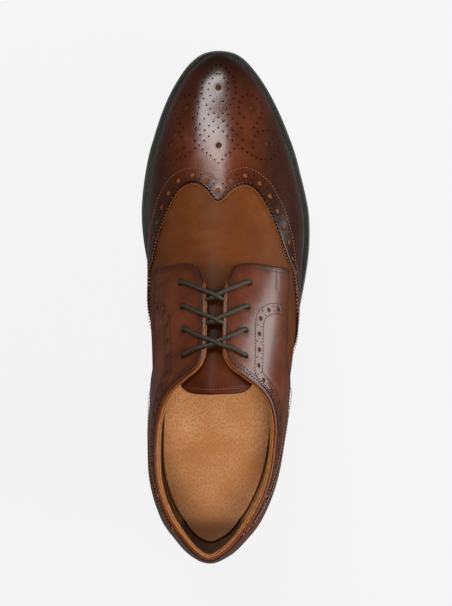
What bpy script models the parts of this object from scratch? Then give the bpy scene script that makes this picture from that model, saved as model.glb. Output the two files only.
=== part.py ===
"""A man's right brogue shoe: an open-laced wing-tip on a ribbed rubber sole.

All sizes are in millimetres and turned to metres where a mesh is made. A place along the shoe is
its distance from the plane behind the heel, x grows towards the outer side and z upwards. The
leather is worked out from one last: cross-sections that run from heel to toe.
"""

import math
from collections import namedtuple

import bmesh
import bpy
from mathutils import Matrix, Vector

MM = 0.001

# Driving dimensions
COUNTER_BACK = -0.4
TOE_TIP = 305.0
MID_LENGTH = (COUNTER_BACK + TOE_TIP) / 2
MID_WIDTH = -0.2
GAP = 0.3
OUTSOLE_THICKNESS = 5.0
WELT_THICKNESS = 3.2
WELT_WIDTH = 11.0
TOP_LIFT_THICKNESS = 6.0
HEEL_LIFT_THICKNESS = 5.4
HEEL_SEAT_HEIGHT = 23.5
HEEL_BREAST = 79.0
FLAT_FROM = 174.0
FLAT_TO = 228.0
TOE_SPRING = 11.0
WALL = 2.0
OVERLAY_GAP = 0.3
OVERLAY_THICKNESS = 1.2
OVERLAY = OVERLAY_GAP + OVERLAY_THICKNESS
SEAM_GAP = 1.4
INSOLE_THICKNESS = 3.5
TONGUE_THICKNESS = 2.2
TONGUE_CLEARANCE = 1.2
EYELET_DIAMETER = 3.6
LACE_DIAMETER = 2.4
SOLE_STEPS = 34
LEATHER_STEPS = 32

# The sole's outline: its inner and outer edge at places along the shoe
Edge = namedtuple("Edge", "place inner outer")
SOLE_EDGE = [
    Edge(2, -9.0, -9.0),
    Edge(4, -15.6, -2.4),
    Edge(8, -21.0, 3.2),
    Edge(15, -28.0, 10.2),
    Edge(30, -37.6, 20.8),
    Edge(50, -42.6, 28.4),
    Edge(75, -42.8, 32.0),
    Edge(92, -41.5, 34.0),
    Edge(110, -39.5, 37.0),
    Edge(130, -39.5, 41.4),
    Edge(150, -42.6, 46.2),
    Edge(165, -46.4, 49.3),
    Edge(181, -50.0, 51.6),
    Edge(195, -52.0, 52.2),
    Edge(207, -52.6, 51.6),
    Edge(218, -52.0, 49.6),
    Edge(230, -50.5, 46.7),
    Edge(243, -48.0, 43.3),
    Edge(255, -44.4, 38.9),
    Edge(267, -40.3, 33.8),
    Edge(279, -35.0, 27.6),
    Edge(288, -29.7, 21.8),
    Edge(295, -24.6, 16.2),
    Edge(300.8, -18.4, 10.1),
    Edge(303.8, -12.7, 4.2),
    Edge(305, -4.3, -4.3),
]

# The last: the edge where the upper meets the welt, the crest over the instep, and how each
# section leans out at the edge, rises up its side and reaches over its crest
Section = namedtuple(
    "Section", "place inner outer crest_x crest_z inner_lean outer_lean rise reach"
)
LAST = [
    Section(6.4, -9.0, -9.0, -9.0, 112, 8, 8, 0.40, 0.55),
    Section(8.5, -15.8, -2.4, -8.9, 112, 9, 9, 0.40, 0.58),
    Section(12, -20.6, 3.0, -8.8, 112, 10, 10, 0.40, 0.60),
    Section(20, -26.6, 9.8, -8.5, 112, 14, 14, 0.40, 0.64),
    Section(30, -32.6, 16.4, -8.2, 112, 19, 19, 0.40, 0.66),
    Section(50, -38.8, 24.4, -8.0, 112, 21, 22, 0.40, 0.68),
    Section(75, -39.6, 28.8, -8.0, 111, 23, 25, 0.40, 0.66),
    Section(100, -38.2, 32.2, -7.6, 107, 28, 29, 0.42, 0.56),
    Section(125, -37.8, 35.4, -6.6, 97.5, 34, 32, 0.46, 0.46),
    Section(150, -39.4, 39.4, -6.2, 87.5, 34, 25, 0.50, 0.44),
    Section(175, -43.2, 43.8, -5.8, 76.0, 22, 15, 0.50, 0.46),
    Section(200, -45.8, 45.8, -5.0, 64.5, 10, 9, 0.50, 0.48),
    Section(215, -45.8, 43.6, -4.6, 58.0, 8, 8, 0.54, 0.50),
    Section(235, -43.2, 38.8, -4.4, 51.0, 7, 7, 0.60, 0.54),
    Section(255, -37.7, 32.4, -4.3, 46.0, 6, 6, 0.66, 0.58),
    Section(272, -31.4, 24.8, -4.3, 43.2, 5, 5, 0.70, 0.60),
    Section(285, -24.8, 16.9, -4.3, 40.8, 4, 4, 0.70, 0.60),
    Section(294, -17.0, 8.5, -4.3, 36.8, 3, 3, 0.66, 0.58),
    Section(299.0, -4.3, -4.3, -4.3, 28.5, 2, 2, 0.60, 0.55),
]

# The top edge of the upper: the collar, the corners of the lacing tabs and the tabs' edges
Brim = namedtuple("Brim", "place inner_x inner_z outer_x outer_z")
BRIM = [
    Brim(6.4, -9.0, 88.0, -9.0, 88.0),
    Brim(8.5, -15.6, 87.7, -2.6, 87.7),
    Brim(15, -21.0, 86.5, 3.6, 86.5),
    Brim(25, -25.8, 84.8, 8.8, 84.8),
    Brim(40, -33.0, 81.8, 16.3, 81.5),
    Brim(56, -38.4, 79.6, 21.8, 79.0),
    Brim(70, -40.6, 79.0, 24.4, 78.0),
    Brim(84, -40.2, 80.2, 25.4, 79.0),
    Brim(95, -37.0, 83.4, 22.8, 82.4),
    Brim(104, -29.5, 88.6, 17.6, 88.0),
    Brim(111, -21.0, 94.2, 9.8, 94.0),
    Brim(117, -15.2, 98.2, 3.0, 98.2),
    Brim(124, -11.8, 96.8, -0.8, 96.8),
    Brim(135, -11.2, 92.4, -1.2, 92.4),
    Brim(150, -11.4, 86.6, -0.8, 86.6),
    Brim(163, -12.4, 81.0, 0.4, 81.0),
    Brim(169, -12.0, 78.2, 0.2, 78.2),
    Brim(172, -9.6, 77.3, -2.2, 77.3),
    Brim(174, -5.9, 76.5, -5.9, 76.5),
]
THROAT = BRIM[-1].place

# The rear profile of the heel: how far it stands forward of the edge below, by height over it
HEEL_PROFILE = [(0, 0.0), (8, -1.9), (17, -3.0), (28, -1.6), (40, 1.8), (52, 5.6), (80, 12.0)]
HEEL_PROFILE_FADES_AT = 62.0

# The wing cap's rear edge: -1 is the section's inner foot over the welt, 0 its crest, 1 the outer
WING_EDGE = [
    (-1.0, 117.0),
    (-0.92, 128.0),
    (-0.82, 143.0),
    (-0.72, 160.0),
    (-0.65, 178.0),
    (-0.55, 196.0),
    (-0.45, 208.4),
    (-0.35, 217.0),
    (-0.21, 219.9),
    (-0.10, 215.4),
    (0.0, 208.5),
    (0.10, 215.4),
    (0.20, 218.8),
    (0.30, 216.0),
    (0.40, 205.0),
    (0.50, 187.3),
    (0.60, 172.0),
    (0.67, 156.0),
    (0.76, 137.0),
    (0.88, 123.0),
    (1.0, 113.0),
]

# Seams on both sides alike, by height up the section from 0 at the welt to 1 at the top edge
COUNTER_EDGE = [(0.0, 96), (0.2, 92), (0.4, 84), (0.55, 74), (0.7, 60), (0.85, 41), (1.0, 21)]
TAB_FRONT = [
    (0.3, 169),
    (0.5, 170.6),
    (0.63, 171.5),
    (0.75, 172.5),
    (0.87, 171.6),
    (0.95, 168.6),
    (1.0, 160),
]

# The height of the quarters' lower seam at places along the shoe
QUARTER_LOW = [(30, 0.52), (75, 0.50), (90, 0.48), (113, 0.46), (127, 0.45), (153, 0.46), (173, 0.45)]

# The eyelets: their places along the shoe and how far they lie from the throat's middle
Eyelet = namedtuple("Eyelet", "place offset")
EYELETS = [Eyelet(161.5, 18.2), Eyelet(148.3, 17.0), Eyelet(135.8, 16.0), Eyelet(122.2, 15.8)]
THROAT_X = -6.1

Paint = namedtuple("Paint", "colour roughness metallic")
PAINTS = {
    "rubber": Paint((0.045, 0.048, 0.042), 0.62, 0.0),
    "leather": Paint((0.195, 0.075, 0.035), 0.32, 0.0),
    "cap_leather": Paint((0.110, 0.035, 0.016), 0.25, 0.0),
    "tongue_leather": Paint((0.085, 0.025, 0.014), 0.42, 0.0),
    "footbed": Paint((0.560, 0.280, 0.110), 0.55, 0.0),
    "cord": Paint((0.045, 0.040, 0.030), 0.70, 0.0),
}


def lerp(a, b, t):
    """A value between a and b."""
    return a + (b - a) * t


def smooth(t):
    """0 to 1 with level ends."""
    t = min(max(t, 0.0), 1.0)
    return t * t * (3 - 2 * t)


def curve(knots, values, at):
    """A smooth curve through values at rising knots."""
    last = len(knots) - 1
    if at <= knots[0]:
        return values[0]
    if at >= knots[last]:
        return values[last]
    i = max(k for k in range(last) if knots[k] <= at)

    def slope(k):
        low, high = max(k - 1, 0), min(k + 1, last)
        return (values[high] - values[low]) / (knots[high] - knots[low])

    step = knots[i + 1] - knots[i]
    t = (at - knots[i]) / step
    rise = values[i + 1] - values[i]
    a = slope(i) * step - rise
    b = -slope(i + 1) * step + rise
    return values[i] + rise * t + t * (1 - t) * (a * (1 - t) + b * t)


class Span:
    """A stretch of the shoe whose two ends come out round: an angle of 0 is its rear end."""

    def __init__(self, rows):
        self.rows = rows
        self.rear = rows[0].place
        self.front = rows[-1].place
        self.knots = [self.angle(row.place) for row in rows]

    def angle(self, place):
        share = (place - self.rear) / (self.front - self.rear)
        return math.acos(1 - 2 * min(max(share, 0.0), 1.0))

    def place(self, angle):
        return self.rear + (self.front - self.rear) * (1 - math.cos(angle)) / 2

    def read(self, field, angle):
        """The named column at an angle."""
        return curve(self.knots, [getattr(row, field) for row in self.rows], angle)


SOLE = Span(SOLE_EDGE)
UPPER = Span(LAST)


def ground_clearance(place):
    """Height of the outsole's underside: heel seat, shank, flat tread and toe spring."""
    if place >= FLAT_TO:
        return TOE_SPRING * ((place - FLAT_TO) / (TOE_TIP - FLAT_TO)) ** 1.8
    if place >= FLAT_FROM:
        return 0.0
    if place <= HEEL_BREAST:
        return HEEL_SEAT_HEIGHT + (HEEL_BREAST - place) * 0.02
    t = (FLAT_FROM - place) / (FLAT_FROM - HEEL_BREAST)
    return HEEL_SEAT_HEIGHT * (0.2 * t ** 2 + 0.8 * smooth(t))


def welt_top(place):
    """Height of the face that the upper and the insole stand on."""
    return ground_clearance(place) + OUTSOLE_THICKNESS + WELT_THICKNESS + GAP


def heel_shift(place, height):
    """How far the rear wall stands forward of its foot at a height over the welt."""
    knots = [row[0] for row in HEEL_PROFILE]
    values = [row[1] for row in HEEL_PROFILE]
    fade = 1 - smooth((place - UPPER.rear) / (HEEL_PROFILE_FADES_AT - UPPER.rear))
    return curve(knots, values, height) * fade


def section_point(angle, side, t):
    """A point of the last: t is 0 at the welt and 1 at the crest, side is -1 inside, 1 outside."""
    place = UPPER.place(angle)
    foot = (UPPER.read("inner" if side < 0 else "outer", angle), welt_top(place) + GAP)
    crest = (UPPER.read("crest_x", angle), UPPER.read("crest_z", angle))
    lean = math.radians(UPPER.read("inner_lean" if side < 0 else "outer_lean", angle))
    rise = UPPER.read("rise", angle) * (crest[1] - foot[1])
    width = abs(foot[0] - crest[0])
    lean_out = math.sin(lean) * min(1.0, width / 20.0)
    wall = (foot[0] + side * rise * lean_out, foot[1] + rise * math.cos(lean))
    roof = (crest[0] + side * UPPER.read("reach", angle) * width, crest[1])
    shares = ((1 - t) ** 3, 3 * t * (1 - t) ** 2, 3 * t * t * (1 - t), t ** 3)
    x, z = (
        sum(share * point[i] for share, point in zip(shares, (foot, wall, roof, crest)))
        for i in (0, 1)
    )
    return Vector((x, place + heel_shift(place, z - foot[1]), z))


def brim_share(place, angle, side):
    """How far up the section its top edge lies, 1 being the crest."""
    if place >= THROAT:
        return 1.0
    knots = [row.place for row in BRIM]
    name = "inner" if side < 0 else "outer"
    x = curve(knots, [getattr(row, name + "_x") for row in BRIM], place)
    z = curve(knots, [getattr(row, name + "_z") for row in BRIM], place)
    low, high = 0.3, 1.0
    for _ in range(3):
        steps = [lerp(low, high, k / 14) for k in range(15)]
        points = [section_point(angle, side, t) for t in steps]
        best = min(range(15), key=lambda k: (points[k].x - x) ** 2 + (points[k].z - z) ** 2)
        low, high = steps[max(best - 1, 0)], steps[min(best + 1, 14)]
    return (low + high) / 2


BRIM_SHARES = {}


def skin_point(angle, around):
    """The upper's outer face. around runs from -1, the inner welt, over the crest to 1."""
    side = -1 if around < 0 else 1
    key = (round(angle, 6), side)
    if key not in BRIM_SHARES:
        BRIM_SHARES[key] = brim_share(UPPER.place(angle), angle, side)
    return section_point(angle, side, (1 - abs(around)) * BRIM_SHARES[key])


def skin(angle, around, offset, side, level=False):
    """The upper's face moved out by offset, on one side; level keeps the move horizontal."""
    step = 0.02
    centre = min(max(angle, step * 1.5), math.pi - step * 1.5)
    share = min(max(abs(around), step), 1 - step)
    ahead = skin_point(centre + step, side * share) - skin_point(centre - step, side * share)
    up = skin_point(centre, side * (share - step)) - skin_point(centre, side * (share + step))
    normal = ahead.cross(up) * side
    if level:
        normal.z = 0
    normal.normalize()
    point = skin_point(angle, side * max(abs(around), 1e-6))
    return point + normal * offset


def world(point):
    """A point in the shoe's own sizes, in metres round the shoe's middle."""
    return Vector((point[0] - MID_WIDTH, point[1] - MID_LENGTH, point[2])) * MM


def paint(name):
    """The material for a finish, made once."""
    if name in bpy.data.materials:
        return bpy.data.materials[name]
    material = bpy.data.materials.new(name)
    material.use_nodes = True
    shader = material.node_tree.nodes["Principled BSDF"]
    shader.inputs["Base Color"].default_value = (*PAINTS[name].colour, 1.0)
    shader.inputs["Roughness"].default_value = PAINTS[name].roughness
    shader.inputs["Metallic"].default_value = PAINTS[name].metallic
    return material


def add_object(name, mesh_maker, finish):
    """A named object from a bmesh, with its faces pointing out and shaded smooth."""
    bmesh.ops.recalc_face_normals(mesh_maker, faces=mesh_maker.faces)
    mesh = bpy.data.meshes.new(name)
    mesh_maker.to_mesh(mesh)
    mesh_maker.free()
    mesh.materials.append(paint(finish))
    mesh.shade_smooth()
    mesh.set_sharp_from_angle(angle=math.radians(40))
    piece = bpy.data.objects.new(name, mesh)
    bpy.context.collection.objects.link(piece)
    return piece


class Lattice:
    """The grid of places on the last that all the leather shares, so its facets lie parallel.

    A node is (station, row, side): row 0 is the foot over the welt and the last row the top edge.
    The two ends of the shoe, and the crest in front of the throat, belong to both sides.
    """

    ROWS = 9

    def __init__(self):
        angles = [math.pi * k / LEATHER_STEPS for k in range(LEATHER_STEPS + 1)]
        extra = [UPPER.angle(place) for place in (117.0, 124.0, 163.0, 167.0, 170.5, THROAT)]
        kept = [a for a in angles if all(abs(a - e) > 0.03 for e in extra)]
        self.angles = sorted(kept + extra)
        self.points = {}

    def node(self, station, row, side):
        """The node's own name, with side 0 where both sides share it."""
        ends = station in (0, len(self.angles) - 1)
        crest = row == self.ROWS and UPPER.place(self.angles[station]) >= THROAT - 0.01
        return (station, row, 0 if ends or crest else side)

    def point(self, node, offset):
        """The node's place, moved out by offset."""
        if (node, offset) not in self.points:
            station, row, side = node
            found = [
                skin(self.angles[station], 1 - row / self.ROWS, offset, half, level=row == 0)
                for half in ((side,) if side else (-1, 1))
            ]
            self.points[node, offset] = sum(found, Vector()) / len(found)
        return self.points[node, offset]

    def triangles(self, side):
        """The side's cells, each as two triangles of nodes."""
        for i in range(len(self.angles) - 1):
            for j in range(self.ROWS):
                a, b = self.node(i, j, side), self.node(i + 1, j, side)
                c, d = self.node(i + 1, j + 1, side), self.node(i, j + 1, side)
                for corners in ((a, b, c), (a, c, d)):
                    if len(set(corners)) == 3:
                        yield corners if side > 0 else corners[::-1]


LATTICE = Lattice()


def clip(polygon, rule, side):
    """The part of a polygon where rule is not negative. A corner is a {node: share} mixture."""

    def worth(corner):
        total = 0.0
        for (station, row, _), share in corner.items():
            total += share * rule(UPPER.place(LATTICE.angles[station]), row / LATTICE.ROWS, side)
        return total

    kept = []
    values = [worth(corner) for corner in polygon]
    for k, corner in enumerate(polygon):
        n = (k + 1) % len(polygon)
        if values[k] >= 0:
            kept.append(corner)
        if (values[k] >= 0) != (values[n] >= 0):
            t = values[k] / (values[k] - values[n])
            mixed = {node: share * (1 - t) for node, share in corner.items()}
            for node, share in polygon[n].items():
                mixed[node] = mixed.get(node, 0.0) + share * t
            kept.append(mixed)
    return kept


def shell(name, sides, rules, inner, outer, finish):
    """A closed leather wall between two offsets from the last, where no rule is negative."""
    index = {}
    walls = ([], [])
    faces = []
    for side in sides:
        for corners in LATTICE.triangles(side):
            polygon = [{node: 1.0} for node in corners]
            for rule in rules:
                polygon = clip(polygon, rule, side) if polygon else polygon
            ring = []
            for corner in polygon:
                parts = sorted(corner.items())
                spots = [
                    sum((LATTICE.point(node, offset) * share for node, share in parts), Vector())
                    for offset in (inner, outer)
                ]
                key = tuple(round(c, 2) for c in spots[1])
                if key not in index:
                    index[key] = len(walls[0])
                    walls[0].append(spots[0])
                    walls[1].append(spots[1])
                if index[key] not in ring:
                    ring.append(index[key])
            if len(ring) > 2:
                faces.append(ring)
    mesh = bmesh.new()
    lining, face = [[mesh.verts.new(world(p)) for p in wall] for wall in walls]
    edges = {}
    for ring in faces:
        mesh.faces.new([face[v] for v in ring])
        mesh.faces.new([lining[v] for v in reversed(ring)])
        for a, b in zip(ring, ring[1:] + ring[:1]):
            edges.setdefault(frozenset((a, b)), []).append((a, b))
    for uses in edges.values():
        if len(uses) == 1:
            a, b = uses[0]
            mesh.faces.new([face[b], face[a], lining[a], lining[b]])
    return add_object(name, mesh, finish)


def outline(span, inset):
    """A span's outline moved in by inset, from the heel along the inner side and back."""
    angles = [math.pi * k / SOLE_STEPS for k in range(SOLE_STEPS + 1)]
    inner = [Vector((span.read("inner", a), span.place(a))) for a in angles]
    outer = [Vector((span.read("outer", a), span.place(a))) for a in angles]
    ring = inner + outer[-2:0:-1]
    moved = []
    for k, point in enumerate(ring):
        tangent = ring[(k + 1) % len(ring)] - ring[k - 1]
        normal = Vector((tangent.y, -tangent.x)).normalized()
        moved.append(point + normal * inset)
    return moved


def ring_faces(mesh, rings):
    """Walls between rings of vertices, one after the other."""
    for low, high in zip(rings, rings[1:]):
        for k in range(len(low)):
            n = (k + 1) % len(low)
            mesh.faces.new([low[k], low[n], high[n], high[k]])


def cap_faces(mesh, ring):
    """A cap over a sole ring, in strips across the shoe."""
    half = len(ring) // 2
    for k in range(half):
        corners = [ring[k], ring[k + 1], ring[-k - 1], ring[-k]] if k else [ring[0], ring[1], ring[-1]]
        if k == half - 1:
            corners = [ring[k], ring[half], ring[-k]]
        mesh.faces.new(corners)


def make_sole_layer(name, profile, is_strip):
    """A sole layer from rows of (inset, height over the ground clearance): plate or open strip."""
    mesh = bmesh.new()
    rings = []
    for inset, height in profile:
        points = outline(SOLE, inset)
        rings.append(
            [mesh.verts.new(world((p.x, p.y, ground_clearance(p.y) + height))) for p in points]
        )
    ring_faces(mesh, rings)
    if is_strip:
        ring_faces(mesh, [rings[-1], rings[0]])
    else:
        cap_faces(mesh, rings[0])
        cap_faces(mesh, rings[-1])
    return add_object(name, mesh, "rubber")


def make_outsole():
    """The rubber outsole: a side with two shallow ribs and a raised bed inside the welt."""
    top = OUTSOLE_THICKNESS
    bed = top + WELT_THICKNESS
    profile = [
        (1.2, 0.0),
        (0.3, 0.8),
        (0.3, 1.9),
        (0.9, 2.2),
        (0.3, 2.5),
        (0.0, 3.2),
        (0.0, top),
        (WELT_WIDTH + GAP, top),
        (WELT_WIDTH + GAP, bed),
    ]
    return make_sole_layer("outsole", profile, is_strip=False)


def make_welt():
    """The rubber welt strip, with a groove along its edge and one along its top."""
    low = OUTSOLE_THICKNESS + GAP
    top = OUTSOLE_THICKNESS + WELT_THICKNESS
    profile = [
        (WELT_WIDTH, low),
        (0.6, low),
        (0.1, low + 0.5),
        (0.1, top - 1.0),
        (0.6, top - 0.2),
        (1.6, top),
        (WELT_WIDTH, top),
    ]
    return make_sole_layer("welt", profile, is_strip=True)


def heel_outline(inset):
    """The heel's plan: the sole's outline behind a hollowed breast."""
    steps = 15
    breast_steps = 8
    breast_hollow = 3.5
    stop = SOLE.angle(HEEL_BREAST - 4)
    angles = [stop * k / steps for k in range(steps + 1)]
    ring = [Vector((SOLE.read("inner", a), SOLE.place(a))) for a in reversed(angles)]
    ring += [Vector((SOLE.read("outer", a), SOLE.place(a))) for a in angles[1:]]
    left, right = ring[0], ring[-1]
    for k in range(1, breast_steps):
        t = k / breast_steps
        ring.append(right.lerp(left, t) - Vector((0, breast_hollow * math.sin(math.pi * t))))
    moved = []
    for k, point in enumerate(ring):
        before, after = ring[k - 1], ring[(k + 1) % len(ring)]
        tangent = (point - before).normalized() + (after - point).normalized()
        normal = Vector((-tangent.y, tangent.x)).normalized()
        moved.append(point - normal * inset)
    return moved


def make_heel_layer(name, profile):
    """A heel layer from rings of (inset, height), its top following the seat where it is None."""
    mesh = bmesh.new()
    rings = []
    for inset, height in profile:
        ring = []
        for p in heel_outline(inset):
            z = ground_clearance(p.y) - GAP if height is None else height
            ring.append(mesh.verts.new(world((p.x, p.y, z))))
        rings.append(ring)
    ring_faces(mesh, rings)
    mesh.faces.new(rings[0][::-1])
    mesh.faces.new(rings[-1])
    bmesh.ops.triangulate(mesh, faces=[f for f in mesh.faces if len(f.verts) > 4])
    return add_object(name, mesh, "rubber")


def make_heel():
    """The stacked heel block, grooved between its lifts, and the rubber piece under it."""
    low = TOP_LIFT_THICKNESS + GAP
    first = low + HEEL_LIFT_THICKNESS
    second = first + HEEL_LIFT_THICKNESS
    groove = 0.4
    block = [
        (1.6, low),
        (1.5, first - groove),
        (2.0, first),
        (1.4, first + groove),
        (1.2, second - groove),
        (1.7, second),
        (1.1, second + groove),
        (0.8, None),
    ]
    make_heel_layer("heel_block", block)
    make_heel_layer("heel_top_lift", [(2.4, 0.0), (1.7, 0.7), (1.6, TOP_LIFT_THICKNESS)])


def make_insole():
    """The footbed inside the upper: a plate with a softened top edge."""
    mesh = bmesh.new()
    clear = WALL + 0.6
    lift = 0.2
    rings = []
    for inset, height in (
        (clear, 0.0),
        (clear, INSOLE_THICKNESS - 1.0),
        (clear + 1.2, INSOLE_THICKNESS),
    ):
        points = outline(UPPER, inset)
        rings.append([mesh.verts.new(world((p.x, p.y, welt_top(p.y) + height + lift))) for p in points])
    ring_faces(mesh, rings)
    cap_faces(mesh, rings[0])
    cap_faces(mesh, rings[-1])
    return add_object("insole", mesh, "footbed")


def make_upper():
    """The hollow leather upper, open at the collar, along the throat and underneath."""
    return shell("upper", (-1, 1), [], -WALL, 0.0, "leather")


def along(table, at):
    """A smooth reading of a two-column table."""
    return curve([row[0] for row in table], [row[1] for row in table], at)


def make_wing_cap():
    """The toe cap, its rear edge drawn out into a wing down each side."""

    def ahead_of_edge(place, height, side):
        return place - along(WING_EDGE, side * (1 - height))

    return shell("wing_cap", (-1, 1), [ahead_of_edge], OVERLAY_GAP, OVERLAY, "cap_leather")


def make_quarter(name, side):
    """A quarter with its lacing tab, from the counter cover forward to the tab's round front."""

    def behind_tab_front(place, height, _):
        return along(TAB_FRONT, height) - place

    def ahead_of_counter(place, height, _):
        return place - along(COUNTER_EDGE, height) - SEAM_GAP

    def above_low_seam(place, height, _):
        return (height - along(QUARTER_LOW, place)) * 100

    rules = [behind_tab_front, ahead_of_counter, above_low_seam]
    return shell(name, (side,), rules, OVERLAY_GAP, OVERLAY, "leather")


def make_heel_counter():
    """The counter cover that wraps the heel."""

    def behind_edge(place, height, _):
        return along(COUNTER_EDGE, height) - place

    return shell("heel_counter", (-1, 1), [behind_edge], OVERLAY_GAP, OVERLAY, "leather")


def make_tongue():
    """The tongue, under the tabs and out above them at the top."""
    columns = 10
    rows = 8
    top = 104.0
    bottom = 180.0
    half_width = 22.5
    middle = -5.4
    outer = -(WALL + TONGUE_CLEARANCE)
    mesh = bmesh.new()
    layers = []
    for offset in (outer, outer - TONGUE_THICKNESS):
        layer = []
        for r in range(rows + 1):
            line = []
            for c in range(columns + 1):
                across = 2 * c / columns - 1
                corner = 4.0 * across ** 8 - 0.8 * across ** 2
                place = lerp(top + corner, bottom, r / rows)
                angle = UPPER.angle(place)
                x = middle + across * half_width
                line.append(mesh.verts.new(world(under_crest(angle, x, offset))))
            layer.append(line)
        layers.append(layer)
    for upside, layer in zip((True, False), layers):
        for low, high in zip(layer, layer[1:]):
            for c in range(columns):
                ring = [low[c], low[c + 1], high[c + 1], high[c]]
                mesh.faces.new(ring if upside else ring[::-1])
    borders = []
    for layer in layers:
        border = layer[0][:] + [row[-1] for row in layer[1:]]
        border += layer[-1][-2::-1] + [row[0] for row in layer[-2:0:-1]]
        borders.append(border)
    ring_faces(mesh, borders)
    return add_object("tongue", mesh, "tongue_leather")


def under_crest(angle, x, offset):
    """A point at x on the last's full section, moved out by offset, throat or no throat."""
    side = -1 if x < UPPER.read("crest_x", angle) else 1
    low, high = 0.3, 1.0
    for _ in range(24):
        middle = (low + high) / 2
        if (section_point(angle, side, middle).x - x) * side > 0:
            low = middle
        else:
            high = middle
    point = section_point(angle, side, low)
    near = section_point(angle, side, max(low - 0.02, 0.0))
    far = section_point(angle, side, min(low + 0.02, 1.0))
    ahead = section_point(angle + 0.03, side, low) - section_point(angle - 0.03, side, low)
    normal = ahead.cross(far - near) * side
    normal.normalize()
    if normal.z < 0:
        normal = -normal
    return point + normal * offset


def tube(points, diameter, sides=8):
    """A round bar through points, with flat ends."""
    mesh = bmesh.new()
    rings = []
    for k, point in enumerate(points):
        ahead = (points[min(k + 1, len(points) - 1)] - points[max(k - 1, 0)]).normalized()
        across = ahead.cross(Vector((0, 0, 1))).normalized()
        up = across.cross(ahead)
        ring = []
        for n in range(sides):
            turn = 2 * math.pi * (n + 0.5) / sides
            spot = point + (across * math.cos(turn) + up * math.sin(turn)) * diameter / 2
            ring.append(mesh.verts.new(world(spot)))
        rings.append(ring)
    ring_faces(mesh, rings)
    mesh.faces.new(rings[0][::-1])
    mesh.faces.new(rings[-1])
    return mesh


def make_lace_crossing(name, low, high, both_out):
    """Two lace runs that cross over the throat, joined where they touch."""
    lift = OVERLAY + LACE_DIAMETER / 2 + 0.35
    steps = 8
    from_edge = 3.0
    past_middle = 4.0
    runs = []
    for side in (-1, 1):
        start = low.offset - from_edge
        end = high.offset - from_edge if both_out else past_middle
        stop = lerp(low.place, high.place, 1.0 if both_out else 0.62)
        points = []
        for k in range(steps + 1):
            x = THROAT_X + side * lerp(start, -end, k / steps)
            angle = UPPER.angle(lerp(low.place - 1.5, stop, k / steps))
            points.append(under_crest(angle, x, lift))
        runs.append(tube(points, LACE_DIAMETER))
    first = add_object(name, runs[0], "cord")
    other = add_object(name + "_run", runs[1], "cord")
    other.hide_render = True
    other.display_type = "WIRE"
    joint = first.modifiers.new("joined", "BOOLEAN")
    joint.operation = "UNION"
    joint.object = other
    return first


def cut_eyelets(upper, quarters):
    """Round holes through the tabs and the upper behind them."""
    reach = 6.0
    for row, eyelet in enumerate(EYELETS):
        for side in (-1, 1):
            angle = UPPER.angle(eyelet.place)
            x = THROAT_X + side * eyelet.offset
            inside = world(under_crest(angle, x, -reach))
            outside = world(under_crest(angle, x, reach))
            axis = outside - inside
            turn = axis.to_track_quat("Z", "Y").to_matrix().to_4x4()
            mesh = bmesh.new()
            bmesh.ops.create_cone(
                mesh,
                cap_ends=True,
                segments=12,
                radius1=EYELET_DIAMETER / 2 * MM,
                radius2=EYELET_DIAMETER / 2 * MM,
                depth=axis.length,
                matrix=Matrix.Translation((inside + outside) / 2) @ turn,
            )
            cutter = add_object(f"eyelet_cutter_{row}_{side}", mesh, "leather")
            cutter.hide_render = True
            cutter.display_type = "WIRE"
            for piece in (upper, quarters[side]):
                cut = piece.modifiers.new("eyelet", "BOOLEAN")
                cut.operation = "DIFFERENCE"
                cut.object = cutter


def main():
    """Build every piece of the shoe."""
    for existing in list(bpy.data.objects):
        bpy.data.objects.remove(existing, do_unlink=True)
    make_outsole()
    make_welt()
    make_heel()
    make_insole()
    upper = make_upper()
    make_tongue()
    make_wing_cap()
    quarters = {-1: make_quarter("quarter_medial", -1), 1: make_quarter("quarter_lateral", 1)}
    make_heel_counter()
    cut_eyelets(upper, quarters)
    for row, (low, high) in enumerate(zip(EYELETS, EYELETS[1:])):
        make_lace_crossing(f"lace_crossing_{row + 1}", low, high, row == 2)


main()
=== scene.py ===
"""The looks of a man's right brogue shoe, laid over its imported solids.

Sizes are in millimetres in the shoe's own measure, and turned to metres where a mesh is made. A
place along the shoe is its distance from the plane behind the heel, x grows towards the outer side
and z upwards. All the leather is drawn on one last, as a pattern cutter draws it: a spot is an
angle from heel to toe, and how far round the section it lies, from the welt to the top edge.
"""

import logging
import math
from dataclasses import dataclass, field
from enum import Enum
from typing import Callable, ClassVar, Iterable

import bmesh
import bpy
import numpy as np
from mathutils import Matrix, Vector
from mathutils.geometry import delaunay_2d_cdt
from mathutils.kdtree import KDTree

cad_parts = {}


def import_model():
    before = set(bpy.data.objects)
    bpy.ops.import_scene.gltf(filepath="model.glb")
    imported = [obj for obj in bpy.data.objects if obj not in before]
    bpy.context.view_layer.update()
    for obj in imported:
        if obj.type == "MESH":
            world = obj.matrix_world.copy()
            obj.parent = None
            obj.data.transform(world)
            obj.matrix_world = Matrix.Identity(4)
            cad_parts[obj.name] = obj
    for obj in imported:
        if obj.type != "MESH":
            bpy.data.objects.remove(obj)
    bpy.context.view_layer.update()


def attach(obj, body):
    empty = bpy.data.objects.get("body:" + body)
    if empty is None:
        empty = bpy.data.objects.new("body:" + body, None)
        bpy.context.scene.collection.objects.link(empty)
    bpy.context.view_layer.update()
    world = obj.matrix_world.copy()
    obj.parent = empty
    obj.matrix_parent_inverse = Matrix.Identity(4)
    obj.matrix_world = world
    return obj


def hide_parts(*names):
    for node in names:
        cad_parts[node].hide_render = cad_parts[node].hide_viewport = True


LOG = logging.getLogger("brogue_shoe")

MM = 0.001
BODY = "root"

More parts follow.
